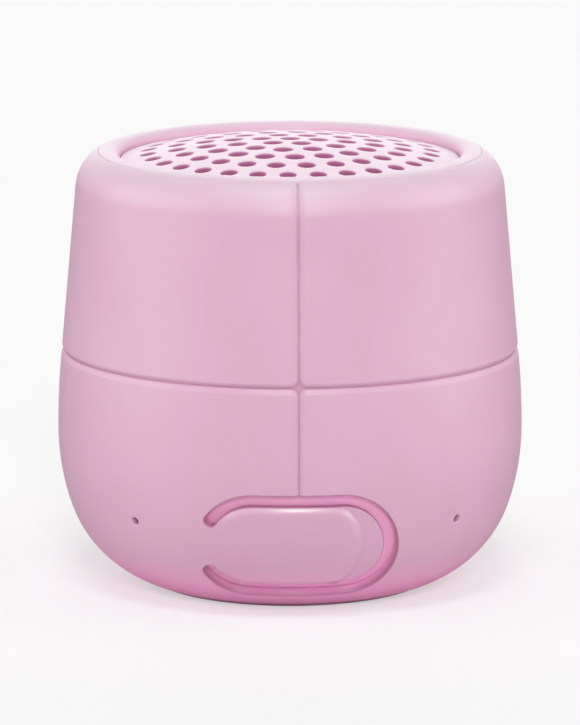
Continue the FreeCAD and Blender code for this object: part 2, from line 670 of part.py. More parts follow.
def outer_skin():
    """The silicone skin: a shell with two grooves, the flap's window and two pinholes."""
    opening = "foot_radius + foot_fit"
    body = turned("outer_skin", [(opening, "skin_base")] + surface("0")
                  + backwards(surface("skin_wall")) + [(opening, "skin_base + skin_wall")])
    DOC.recompute()
    floor = "wall_foot_radius - (groove_level - wall_foot_level) * tan(draft_angle) - groove_depth"
    round_start = floor + " + groove_width / 2"
    low, high = "groove_level - groove_width / 2", "groove_level + groove_width / 2"
    level = draw(body_sketch(body, "level_groove_outline", "XZ_Plane"), [
        ("body_radius + groove_depth", low), (round_start, low),
        (floor, "groove_level", "groove_width / 2", -1),
        (round_start, high, "groove_width / 2", -1), ("body_radius + groove_depth", high)])
    before = body.Shape.Volume
    groove = body.newObject("PartDesign::Groove", "level_groove")
    groove.Profile = level
    groove.ReferenceAxis = (level, ["V_Axis"])
    groove.Angle = 360
    DOC.recompute()
    if not body.Shape.Volume < before:
        raise RuntimeError("level_groove cut nothing")
    for name, run, turn in (("front_groove", surface("groove_depth")[2:], mirrored),
                            ("back_groove", surface("groove_depth")[1:], list)):
        outside = "body_radius + groove_depth"
        top = ("crest_axis + (crest_arc + groove_depth) * cos(parting_angle)",
               "crest_level + (crest_arc + groove_depth) * sin(parting_angle)")
        steps = [run[0][:2]] + run[1:] + [top, (outside, top[1]), (outside, run[0][1])]
        upright = draw(body_sketch(body, name + "_outline", "YZ_Plane"), turn(steps))
        pocket(body, upright, name, depth="groove_width", both=True)
    window = draw(body_sketch(body, "window_outline", "XZ_Plane"),
                  flap_outline("flap_arc + slot_width", "(hinge_reach + hinge_gap)"))
    pocket(body, window, "flap_window", reverse=True)
    for name, turn in (("left_pinhole", "-pinhole_azimuth"), ("right_pinhole", "pinhole_azimuth")):
        hole = draw_circle(body_sketch(body, name + "_outline", "XZ_Plane", turn),
                           "0", "pinhole_level", "pinhole_radius")
        pocket(body, hole, name, reverse=True)
    return keep("outer_skin", body)


def port_flap():
    """The port's flap: a piece of the skin's form with a finger step and a tapered plug."""
    back = "housing_inset - flap_back_gap"
    shell = turned("flap_form", surface("0") + backwards(surface(back)))
    sheet = common("flap_sheet", shell,
                   prism("flap_prism", flap_outline("flap_arc", "hinge_reach"), "0", "body_radius + skin_wall"))
    edge = "tab_centre + sqrt(tab_arc ^ 2 - flap_arc ^ 2)"
    low, high = "flap_level - flap_arc", "flap_level + flap_arc"
    past = "flap_right + flap_arc + slot_width"
    step = prism("tab_prism", [
        (edge, low + " - slot_width"), (past, low + " - slot_width"),
        (past, high + " + slot_width"), (edge, high + " + slot_width"), (edge, high),
        ("tab_centre + tab_arc", "flap_level", "tab_arc", -1), (edge, low, "tab_arc", -1),
    ], "0", "body_radius + skin_wall")
    core = filled("step_core", "tab_depth")
    stepped = cut_from("flap_stepped", sheet, cut_from("tab_cutter", step, core))
    wedge = DOC.addObject("Part::Wedge", "plug_wedge")
    for name, text in (
            ("Xmin", "-plug_root"), ("Xmax", "plug_root"),
            ("Zmin", "flap_level - plug_root_height"), ("Zmax", "flap_level + plug_root_height"),
            ("X2min", "-plug_tip"), ("X2max", "plug_tip"),
            ("Z2min", "flap_level - plug_tip_height"), ("Z2max", "flap_level + plug_tip_height"),
            ("Ymin", "-(body_radius - skin_wall)"), ("Ymax", "-(socket_face + plug_gap)")):
        wedge.setExpression(name, full(text))
    plug = common("flap_plug", wedge, core)
    return keep("port_flap", fuse("port_flap", stepped, plug))


# ---------------------------------------------------------------- bezel and grille

def top_bezel():
    """The rigid ring that closes the skin's top edge and carries the grille."""
    start = "(parting_angle + parting_gap)"
    lip = "crest_height - lip_arc + sqrt(lip_arc ^ 2 - (crest_axis - bezel_bore) ^ 2)"
    side = "bezel_outer - bezel_fit"
    return keep("top_bezel", turned("top_bezel", [
        ("crest_axis + crest_arc * cos(%s)" % start, "crest_level + crest_arc * sin(%s)" % start),
        ("crest_axis", "crest_height", "crest_arc", 1),
        ("bezel_bore", lip, "lip_arc", 1),
        ("bezel_bore", "grille_seat"), ("bezel_shelf", "grille_seat"),
        ("bezel_shelf", "bezel_base"), (side, "bezel_base"),
        (side, "crest_level + (crest_arc - housing_inset) * sin(parting_angle)"),
    ]))


def grille():
    """The domed grille: rings of round holes, six more in each ring than in the one inside it."""
    inside = "grille_sphere - grille_wall"
    rim = "grille_radius - grille_rim"
    body = turned("grille", [
        ("0", "grille_apex"),
        ("grille_radius", "grille_edge", "grille_sphere", -1),
        ("grille_radius", "grille_seat"), (rim, "grille_seat"),
        (rim, "dome_level + sqrt((%s) ^ 2 - (%s) ^ 2)" % (inside, rim)),
        ("0", "grille_apex - grille_wall", inside, 1),
    ])
    middle = draw_circle(body_sketch(body, "middle_hole_outline", "XY_Plane"), "0", "0", "grille_hole")
    pocket(body, middle, "middle_hole", reverse=True)
    sizes = ("grille_hole", "grille_hole", "grille_hole", "grille_hole_fourth", "grille_hole_outer")
    for ring, size in enumerate(sizes, 1):
        x = "%d * grille_pitch * sin(grille_turn)" % ring
        y = "-%d * grille_pitch * cos(grille_turn)" % ring
        name = "ring_%d" % ring
        sketch = draw_circle(body_sketch(body, name + "_outline", "XY_Plane"), x, y, size)
        around(body, pocket(body, sketch, name, reverse=True), name + "_repeat", 6 * ring)
        DOC.recompute()
    return keep("grille", body)


def grille_mesh():
    """The fine mesh that keeps spray off the driver, under the grille."""
    outside = "grille_sphere - grille_wall - mesh_gap"
    inside = outside + " - mesh_wall"
    return keep("grille_mesh", turned("grille_mesh", [
        ("0", "dome_level + " + outside),
        ("mesh_radius", "dome_level + sqrt((%s) ^ 2 - mesh_radius ^ 2)" % outside, outside, -1),
        ("mesh_radius", "dome_level + sqrt((%s) ^ 2 - mesh_radius ^ 2)" % inside),
        ("0", "dome_level + " + inside, inside, 1),
    ]))


# ---------------------------------------------------------------- housing

def inner_room():
    """The room inside the housing, before anything stands in it."""
    form = surface("inner_inset")
    corner = "bowl_axis + sqrt((bowl_arc - inner_inset) ^ 2 - (bowl_level - housing_floor) ^ 2)"
    return turned("inner_room", [("0", "housing_floor"), (corner, "housing_floor")]
                  + form[2:6] + [("0", form[5][1])])


def flange_ring(label):
    """The thick ring on both sides of the joint between the housings."""
    return turned(label, rectangle(
        "joint_radius - housing_wall - flange_width", "split_level - flange_height",
        "body_radius", "split_level + flange_height"))


def posts(label, low, high):
    """Four screw posts."""
    return [cylinder("%s_%d" % (label, number), "post_radius", "(%s) - (%s)" % (high, low), x, y, low)
            for number, (x, y) in enumerate(four_places("post_circle"), 1)]


def port_cutters():
    """The port's recess, the pocket of the socket's gasket and the socket's way in."""
    half_w, half_h = "socket_width / 2", "socket_height / 2"
    rim = "gasket_rim + gasket_fit"
    return [
        prism("port_recess", rounded("port_width / 2", "port_height / 2", "socket_level", "port_corner"),
              "socket_face", "body_radius"),
        prism("gasket_pocket", rounded("%s + %s" % (half_w, rim), "%s + %s" % (half_h, rim),
                                       "socket_level", "socket_corner + " + rim),
              "socket_face - gasket_length", "body_radius"),
        prism("socket_way", rounded(half_w + " + socket_fit", half_h + " + socket_fit",
                                    "socket_level", "socket_corner + socket_fit"),
              "block_face - port_rim", "body_radius"),
    ]


def lower_housing():
    """The lower housing: bowl, screw posts, button boss, port block and two sleeves."""
    sleeve = "boot_radius + boot_fit + sleeve_wall"
    half_height = "(port_height / 2 + port_rim)"
    inside = [
        flange_ring("lower_flange"),
        cylinder("button_boss", "boss_radius", "boss_level"),
        block("port_block", "port_width + 2 * port_rim", "body_radius - block_face",
              "2 * " + half_height, "0", "-body_radius", "socket_level - " + half_height),
        radial("left_sleeve", sleeve, "sleeve_end", "body_radius", -1),
        radial("right_sleeve", sleeve, "sleeve_end", "body_radius", 1),
    ] + posts("lower_post", "0", "board_level")
    outside = common("lower_form", filled("lower_filled", "housing_inset"),
                     cylinder("lower_reach", "body_radius", "split_level"))
    bowl = cut_from("lower_bowl", outside, cut_from("lower_room", inner_room(), *inside))
    seal_outer = "joint_radius - seal_inset + seal_fit"
    seal_inner = "joint_radius - seal_inset - seal_width - seal_fit"
    cutters = port_cutters() + [
        turned("seal_groove", rectangle(seal_inner, "split_level - seal_height - seal_fit",
                                        seal_outer, "split_level + seal_height")),
        cylinder("stem_hole", "stem_radius + stem_fit", "boss_level + stem_fit"),
        cylinder("o_ring_pocket", "o_ring_radius + o_ring_fit", "housing_base + o_ring_height + o_ring_fit"),
        radial("boot_bore", "boot_radius + boot_fit", "sleeve_end - sleeve_wall", "boot_face", -1),
        radial("sound_hole", "pinhole_radius", "sleeve_end", "body_radius", -1),
        radial("collar_bore", "boot_radius + boot_fit", "sleeve_end - sleeve_wall", "boot_face", 1),
        radial("pipe_hole", "pipe_radius + pipe_fit", "sleeve_end", "body_radius", 1),
    ]
    for number, (x, y) in enumerate(four_places("post_circle"), 1):
        cutters.append(cylinder("shank_hole_%d" % number, "screw_radius + screw_fit",
                                "board_level + screw_fit", x, y))
        cutters.append(cylinder("head_hole_%d" % number, "screw_head + screw_fit", "head_seat", x, y))
    return keep("lower_housing", cut_from("lower_housing", bowl, *cutters))


def upper_housing():
    """The upper housing: wall, long screw posts, driver ledge and the bezel's seat."""
    top = "crest_height"
    inside = [
        flange_ring("upper_flange"),
        cylinder("ledge_block", "body_radius", "%s - (ledge_level - ledge_wall)" % top,
                 z="ledge_level - ledge_wall"),
    ] + posts("upper_post", "board_top", "ledge_level")
    outside = cut_from("upper_form", filled("upper_filled", "housing_inset"),
                       cylinder("upper_reach", "body_radius", "split_level"))
    shell = cut_from("upper_shell", outside, cut_from("upper_room", inner_room(), *inside))
    long_posts = common("hanging_posts", fuse("post_set", *posts("hanging_post", "board_top", "ledge_level")),
                        inner_room())
    cutters = [
        cylinder("driver_bore", "frame_radius + frame_fit", top),
        cylinder("rim_opening", "rim_bore", top, z="ledge_level"),
        cylinder("bezel_seat", "bezel_outer", top, z="bezel_base"),
    ]
    for number, (x, y) in enumerate(four_places("post_circle"), 1):
        cutters.append(cylinder("thread_hole_%d" % number, "screw_radius + thread_fit",
                                "head_seat + screw_length + thread_spare - board_top", x, y, "board_top"))
    for number, (x, y) in enumerate(four_places("driver_screw_circle", 0), 1):
        cutters.append(cylinder("ledge_hole_%d" % number, "driver_screw_radius + thread_fit",
                                "2 * ledge_wall", x, y, "ledge_level - 1.5 * ledge_wall"))
    return keep("upper_housing", cut_from("upper_housing", fuse("upper_joined", shell, long_posts), *cutters))


def housing_seal():
    """The seal in the joint between the housings."""
    return keep("housing_seal", turned("housing_seal", rectangle(
        "joint_radius - seal_inset - seal_width", "split_level - seal_height",
        "joint_radius - seal_inset", "split_level")))


def screws(node, count_circle, turn, head_radius, head_height, shank_radius, shank_length, seat, up):
    """A set of four equal screws; up tells whether the shanks point upwards from the seat."""
    made = []
    for number, (x, y) in enumerate(four_places(count_circle, turn), 1):
        head_low, shank_low = ((seat + " - " + head_height, seat) if up
                               else (seat, "%s - %s" % (seat, shank_length)))
        head = cylinder("%s_head_%d" % (node, number), head_radius, head_height, x, y, head_low)
        shank = cylinder("%s_shank_%d" % (node, number), shank_radius, shank_length, x, y, shank_low)
        made.append(fuse("%s_%d" % (node, number), head, shank))
    return keep(node, group(node, made))


# ---------------------------------------------------------------- base

def foot_pad():
    """The rubber ring that the speaker stands on."""
    return keep("foot_pad", turned("foot_pad", [
        ("foot_radius - foot_edge", "0"),
        ("foot_radius", "foot_edge", "foot_edge", 1), ("foot_radius", "housing_base"),
        ("foot_bore", "housing_base"), ("foot_bore", "foot_edge"),
        ("foot_bore + foot_edge", "0", "foot_edge", 1),
    ]))


def power_button():
    """The button in the base, with the stem that reaches the switch."""
    groove_low = "boss_level + clip_gap"
    groove_high = groove_low + " + clip_wall"
    neck = "stem_radius - clip_groove"
    back = "button_level + button_wall"
    return keep("power_button", turned("power_button", [
        ("0", "button_level + button_dish - sqrt(button_dish ^ 2 - button_radius ^ 2)"),
        ("button_radius", "button_level", "button_dish", -1),
        ("button_radius", back), ("stem_radius", back),
        ("stem_radius", groove_low), (neck, groove_low),
        (neck, groove_high), ("stem_radius", groove_high),
        ("stem_radius", "stem_top"), ("0", "stem_top"),
    ]))


def button_o_ring():
    """The seal round the button's stem."""
    return keep("button_o_ring", turned("button_o_ring", rectangle(
        "stem_radius + stem_fit", "housing_base", "o_ring_radius", "housing_base + o_ring_height")))


def button_clip():
    """The open clip that keeps the button in."""
    ring = turned("clip_ring", rectangle(
        "stem_radius - clip_groove", "boss_level + clip_gap", "clip_radius", "boss_level + clip_gap + clip_wall"))
    gap = block("clip_opening", "stem_radius", "clip_radius", "boss_level", "0", "0", "boss_level")
    return keep("button_clip", cut_from("button_clip", ring, gap))


# ---------------------------------------------------------------- board

def main_board():
    """The round board with a straight front edge and four screw holes."""
    body = new_body("main_board")
    sketch = body_sketch(body, "board_outline", "XY_Plane")
    sketch.setExpression("AttachmentOffset.Base.z", full("board_level"))
    half = "sqrt(board_radius ^ 2 - board_flat ^ 2)"
    draw(sketch, [
        (half, "-board_flat"), ("board_radius", "0", "board_radius", 1),
        ("0", "board_radius", "board_radius", 1), ("-board_radius", "0", "board_radius", 1),
        ("-" + half, "-board_flat", "board_radius", 1)])
    for x, y in four_places("post_circle"):
        draw_circle(sketch, x, y, "board_hole")
    pad(body, sketch, "board_pad", "board_wall")
    return keep("main_board", body)


def switch():
    """The tact switch under the board, and its plunger."""
    low = "board_level - switch_height"
    case = block("switch_case", "switch_side", "switch_side", "switch_height", "0", "-switch_side / 2", low)
    well = cylinder("switch_well", "plunger_radius + plunger_fit",
                    "plunger_depth + button_travel + plunger_fit", z=low)
    keep("tact_switch", cut_from("tact_switch", case, well))
    keep("switch_plunger", cylinder("switch_plunger", "plunger_radius", "plunger_reach + plunger_depth",
                                    z=low + " - plunger_reach"))


def board_parts():
    """The shield can, the two chips and the row of capacitors on the board."""
    keep("shield_can", block("shield_can", "can_length", "can_width", "can_height",
                             "0", "can_place - can_width / 2", "board_top"))
    keep("board_chips", group("board_chips", [
        block("chip_%s" % name, "chip_side", "chip_side", "chip_height", x, "-chip_side / 2", "board_top")
        for name, x in (("left", "-chip_reach"), ("right", "chip_reach"))]))
    keep("board_capacitors", group("board_capacitors", [
        cylinder("capacitor_%d" % number, "capacitor_radius", "capacitor_height",
                 "%s * capacitor_step" % step, "-capacitor_row", "board_top")
        for number, step in enumerate(("-1.5", "-0.5", "0.5", "1.5"), 1)]))


def usb_socket():
    """The socket's shell with its tongue, and the gasket round its mouth."""
    half_w, half_h = "socket_width / 2", "socket_height / 2"
    rear = "socket_face - socket_length"
    shell = prism("socket_form", rounded(half_w, half_h, "socket_level", "socket_corner"), rear, "socket_face")
    room = prism("socket_room", rounded(half_w + " - socket_wall", half_h + " - socket_wall", "socket_level",
                                        "socket_corner - socket_wall"),
                 rear + " + socket_wall", "socket_face + socket_wall")
    keep("usb_socket", cut_from("usb_socket", shell, room))
    keep("usb_tongue", prism("usb_tongue", rectangle(
        "-tongue_width / 2", "socket_level - tongue_wall / 2", "tongue_width / 2",
        "socket_level + tongue_wall / 2"), rear + " + socket_wall", "socket_face - tongue_setback"))
    ring = prism("gasket_form", rounded(half_w + " + gasket_rim", half_h + " + gasket_rim", "socket_level",
                                        "socket_corner + gasket_rim"),
                 "socket_face - gasket_length", "socket_face")
    bore = prism("gasket_bore", rounded(half_w + " + gasket_fit", half_h + " + gasket_fit", "socket_level",
                                        "socket_corner + gasket_fit"), rear, "socket_face + socket_wall")
    keep("usb_gasket", cut_from("usb_gasket", ring, bore))


def pinhole_parts():
    """The microphone in its boot behind one pinhole, the light and its pipe behind the other."""
    rear = "boot_face - boot_length"
    boot = cut_from("mic_boot", radial("boot_form", "boot_radius", rear, "boot_face", -1),
                    radial("boot_sound", "pinhole_radius", rear, "boot_face + boot_fit", -1),
                    radial("boot_room", "mic_radius", rear + " - boot_fit", rear + " + mic_length", -1))
    keep("mic_boot", boot)
    keep("microphone", radial("microphone", "mic_radius", rear, rear + " + mic_length", -1))
    collar_rear = "boot_face - pipe_collar"
    keep("light_pipe", fuse("light_pipe",
                            radial("pipe_rod", "pipe_radius", collar_rear, "pipe_face", 1),
                            radial("pipe_flange", "boot_radius", collar_rear, "boot_face", 1)))
    holder = DOC.addObject("Part::Box", "led_holder")
    holder.setExpression("Length", full("led_side"))
    holder.setExpression("Width", full("led_depth"))
    holder.setExpression("Height", full("pinhole_level + led_side / 2 - board_top"))
    place(holder, "led_place * sin(pinhole_azimuth) - led_side / 2 * cos(pinhole_azimuth)",
          "-led_place * cos(pinhole_azimuth) - led_side / 2 * sin(pinhole_azimuth)", "board_top",
          (0, 0, 1), "pinhole_azimuth")
    lens = radial("led_lens", "led_radius", "led_place - led_depth / 2", collar_rear, 1)
    keep("status_led", fuse("status_led", holder, lens))


# ---------------------------------------------------------------- cell

def along_x(label, radius, length, start):
    """A level cylinder along X at the cell's height."""
    return cylinder(label, radius, length, start, "0", "cell_level", (0, 1, 0), "90")


def battery():
    """The round cell, lying across the housing, and its tray on four legs."""
    keep("battery_cell", fuse("battery_cell",
                              along_x("cell_can", "cell_radius", "cell_length", "-cell_length / 2"),
                              along_x("cell_cap", "cell_cap_radius", "cell_cap_height", "cell_length / 2")))
    outer = "cell_radius + cell_fit + tray_wall"
    trough = along_x("tray_form", outer, "tray_length", "-tray_length / 2")
    legs = [block("tray_leg_%d" % number, "tray_leg", "tray_leg", "cell_level - tray_rise - board_top",
                  "%d * (tray_length - tray_leg) / 2" % x, y, "board_top")
            for number, (x, y) in enumerate((
                (-1, "-cell_radius + tray_leg / 2"), (1, "-cell_radius + tray_leg / 2"),
                (-1, "cell_radius - 1.5 * tray_leg"), (1, "cell_radius - 1.5 * tray_leg")), 1)]
    tray = cut_from("battery_tray", fuse("tray_joined", trough, *legs),
                    along_x("tray_room", "cell_radius + cell_fit", "cell_length", "-cell_length / 2"),
                    block("tray_top", "cell_length", "4 * cell_radius", "4 * cell_radius", "0",
                          "-2 * cell_radius", "cell_level - tray_rise"))
    keep("battery_tray", tray)


# ---------------------------------------------------------------- driver

def driver_basket():
    """The driver's basket with its windows and its terminal tab."""
    body = turned("basket_form", [
        ("magnet_bore", "frame_base"), ("frame_floor", "frame_base"),
        ("spider_radius + frame_wall", "spider_seat_level - frame_wall"),
        ("frame_radius", "driver_level - frame_wall"), ("frame_radius", "driver_level"),
        ("driver_radius", "driver_level"), ("driver_radius", "flange_top"),
        ("frame_bore", "flange_top"), ("frame_bore", "driver_level - frame_wall"),
        ("spider_radius", "spider_seat_level"), ("spider_radius - spider_seat", "spider_seat_level"),
        ("spider_radius - spider_seat", "frame_base + frame_wall"), ("magnet_bore", "frame_base + frame_wall"),
    ])
    top = "driver_level - 2 * frame_wall"
    window = draw(body_sketch(body, "window_sketch", "XZ_Plane", "45"), rectangle(
        "-window_width / 2", top + " - window_height", "window_width / 2", top))
    around(body, pocket(body, window, "window", reverse=True), "windows", 4)
    for number, (x, y) in enumerate(four_places("driver_screw_circle", 0), 1):
        sketch = draw_circle(body_sketch(body, "flange_hole_%d_outline" % number, "XY_Plane"),
                             x, y, "driver_screw_radius + screw_fit")
        pocket(body, sketch, "flange_hole_%d" % number, reverse=True)
    tab_low = "spider_seat_level - frame_wall - terminal_wall"
    tab = block("terminal_tab", "terminal_width", "terminal_reach - spider_radius", "terminal_wall",
                "0", "spider_radius", tab_low)
    return keep("driver_basket", fuse("driver_basket", body, tab))


def driver_motor():
    """The top plate, the ring magnet and the yoke with its vented pole."""
    keep("driver_top_plate", turned("driver_top_plate", rectangle(
        "plate_bore", "plate_base", "plate_radius", "frame_base")))
    keep("driver_magnet", turned("driver_magnet", rectangle(
        "magnet_bore", "magnet_base", "magnet_radius", "plate_base")))
    keep("driver_yoke", turned("driver_yoke", [
        ("pole_bore", "yoke_base"), ("yoke_radius - yoke_wall / 2", "yoke_base"),
        ("yoke_radius", "yoke_base + yoke_wall / 2"), ("yoke_radius", "magnet_base"),
        ("pole_radius", "magnet_base"), ("pole_radius", "frame_base"), ("pole_bore", "frame_base")]))


def driver_moving():
    """The coil on its former, the cone and the dust cap."""
    winding = "former_radius + winding_wall"
    former_top = "cone_neck_level + 2 * cone_wall"
    keep("voice_coil", turned("voice_coil", [
        ("coil_bore", "winding_base"), (winding, "winding_base"),
        (winding, "winding_base + winding_height"), ("former_radius", "winding_base + winding_height"),
        ("former_radius", former_top), ("coil_bore", former_top)]))
    keep("cone", turned("cone", [
        ("former_radius", "cone_neck_level"), ("cone_land", "flange_top - cone_wall"),
        ("cone_radius", "flange_top - cone_wall"), ("cone_radius", "flange_top"),
        ("cone_land", "flange_top"), ("former_radius", "cone_neck_level + cone_rise")]))
    inside = "cap_sphere - cap_wall"
    foot = "cap_radius - cap_wall"
    middle = "cap_base - sqrt(cap_sphere ^ 2 - cap_radius ^ 2)"
    keep("dust_cap", turned("dust_cap", [
        ("0", middle + " + cap_sphere"),
        ("cap_radius", "cap_base", "cap_sphere", -1),
        (foot, "cap_base - cap_wall * cone_slope"),
        (foot, middle + " + sqrt((%s) ^ 2 - (%s) ^ 2)" % (inside, foot)),
        ("0", middle + " + " + inside, inside, 1),
    ]))


def surround():
    """The half-roll surround between the cone and the basket."""
    top = "flange_top + roll_wall"
    reach = "sqrt(roll_outer ^ 2 - roll_wall ^ 2)"
    return keep("surround", turned("surround", [
        ("cone_land", "flange_top"), ("roll_middle - roll_inner", "flange_top"),
        ("roll_middle", "flange_top + roll_inner", "roll_inner", -1),
        ("roll_middle + roll_inner", "flange_top", "roll_inner", -1),
        ("frame_bore + roll_land", "flange_top"), ("frame_bore + roll_land", top),
        ("roll_middle + " + reach, top),
        ("roll_middle", "flange_top + roll_outer", "roll_outer", 1),
        ("roll_middle - " + reach, top, "roll_outer", 1), ("cone_land", top),
    ]))


def spider():
    """The waved disc that centres the coil."""
    waves = 4
    inner, outer = "(former_radius + spider_land)", "(spider_radius - spider_seat)"
    chord = "((%s - %s) / %d)" % (outer, inner, waves)
    radius = "((%s) ^ 2 / 4 + spider_wave ^ 2) / (2 * spider_wave)" % chord
    def run(level, forward):
        places = range(waves + 1) if forward else range(waves, -1, -1)
        steps = []
        for place_number in places:
            x = "%s + %d * %s" % (inner, place_number, chord)
            wave = place_number if forward else place_number + 1
            bend = (radius, (-1 if wave % 2 else 1) * (1 if forward else -1))
            first = place_number == (0 if forward else waves)
            steps.append((x, level) + (() if first else bend))
        return steps
    low, high = "spider_seat_level", "spider_seat_level + spider_wall"
    return keep("spider", turned("spider", [("former_radius", low)] + run(low, True)
                                 + [("spider_radius", low), ("spider_radius", high)]
                                 + run(high, False) + [("former_radius", high)]))


def driver_gasket():
    """The foam ring under the driver's flange."""
    body = turned("driver_gasket", rectangle(
        "frame_radius + frame_fit", "ledge_level", "driver_radius", "driver_level"))
    for number, (x, y) in enumerate(four_places("driver_screw_circle", 0), 1):
        sketch = draw_circle(body_sketch(body, "gasket_hole_%d_outline" % number, "XY_Plane"),
                             x, y, "driver_screw_radius + screw_fit")
        pocket(body, sketch, "gasket_hole_%d" % number, reverse=True)
    return keep("driver_gasket", body)


# ---------------------------------------------------------------- leads

def lead_path(points):
    """Straight runs joined by tangent arcs; each arc is as large as its two runs allow."""
    corners = [FreeCAD.Vector(*[value(text) for text in point]) for point in points]
    edges = []
    here = corners[0]
    for before, corner, after in zip(corners, corners[1:], corners[2:]):
        arriving = (corner - before).normalize()
        leaving = (after - corner).normalize()
        cut_back = 0.45 * min((corner - before).Length, (after - corner).Length)
        start, stop = corner - arriving * cut_back, corner + leaving * cut_back
        half_turn = arriving.getAngle(leaving) / 2
        bisector = (leaving - arriving).normalize()
        arc_radius = cut_back / math.tan(half_turn)
        middle = corner + bisector * (arc_radius / math.cos(half_turn) - arc_radius)
        edges.append(Part.LineSegment(here, start).toShape())
        edges.append(Part.Arc(start, middle, stop).toShape())
        here = stop
    edges.append(Part.LineSegment(here, corners[-1]).toShape())
    return Part.Wire(edges), (corners[1] - corners[0]).normalize()


def leads(node, routes):
    """A node of thin leads swept along their routes."""
    tubes = []
    for points in routes:
        path, direction = lead_path(points)
        start = path.Vertexes[0].Point
        ring = Part.Wire([Part.Circle(start, direction, value("lead_radius")).toShape()])
        tubes.append(path.makePipeShell([ring], True, True))
    thing = DOC.addObject("Part::Feature", node)
    thing.Shape = Part.makeCompound(tubes)
    return keep(node, thing)


def speaker_leads():
    """Two leads from the basket's terminal tab down to the board."""
    top = "spider_seat_level - frame_wall - terminal_wall"
    near = "terminal_reach - terminal_wall"
    far = "can_place + can_width / 2 + 2 * lead_radius"
    return leads("speaker_leads", [
        [(x, near, top), (x, near, "magnet_base"), (x, far, "cell_level"), (x, far, "board_top")]
        for x in ("-terminal_step / 2", "terminal_step / 2")])


def battery_leads():
    """A lead from each end of the cell down to the board."""
    past = "cell_length / 2 + cell_cap_height + 4 * lead_radius"
    return leads("battery_leads", [
        [("-cell_length / 2", "0", "cell_level"), ("-(%s)" % past, "0", "cell_level"),
         ("-(%s)" % past, "0", "board_top")],
        [("cell_length / 2 + cell_cap_height", "0", "cell_level"), (past, "0", "cell_level"),
         (past, "0", "board_top")]])


def build():
    """Make every piece."""
    outer_skin()
    port_flap()
    top_bezel()
    grille()
    grille_mesh()
    lower_housing()
    upper_housing()
    housing_seal()
    screws("housing_screws", "post_circle", 45, "screw_head", "screw_head_height",
           "screw_radius", "screw_length", "head_seat", True)
    foot_pad()
    power_button()
    button_o_ring()
    button_clip()
    main_board()
    switch()
    board_parts()
    usb_socket()
    pinhole_parts()
    battery()
    driver_basket()
    driver_motor()
    driver_moving()
    surround()
    spider()
    driver_gasket()
    screws("driver_screws", "driver_screw_circle", 0, "driver_screw_head", "driver_screw_head_height",
           "driver_screw_radius", "driver_screw_length", "flange_top", False)
    speaker_leads()
    battery_leads()


def check():
    """Stop if any object failed or any finished piece has no sound shape."""
    DOC.recompute()
    for thing in DOC.Objects:
        if "Invalid" in thing.State or "Error" in thing.State:
            raise RuntimeError("%s is %s" % (thing.Label, thing.State))
    for node, thing in NODES.items():
        if thing.Shape.isNull() or not thing.Shape.isValid():
            raise RuntimeError("%s has no sound shape" % node)


build()
check()
os.makedirs("parts", exist_ok=True)
for node_name, piece in NODES.items():
    piece.Shape.exportStep("parts/%s.step" % node_name)
print("%d pieces written" % len(NODES))
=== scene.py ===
"""The looks of a palm-size shower speaker: skin, port flap, rim, grille, base, inner parts and stage."""

import json
import math

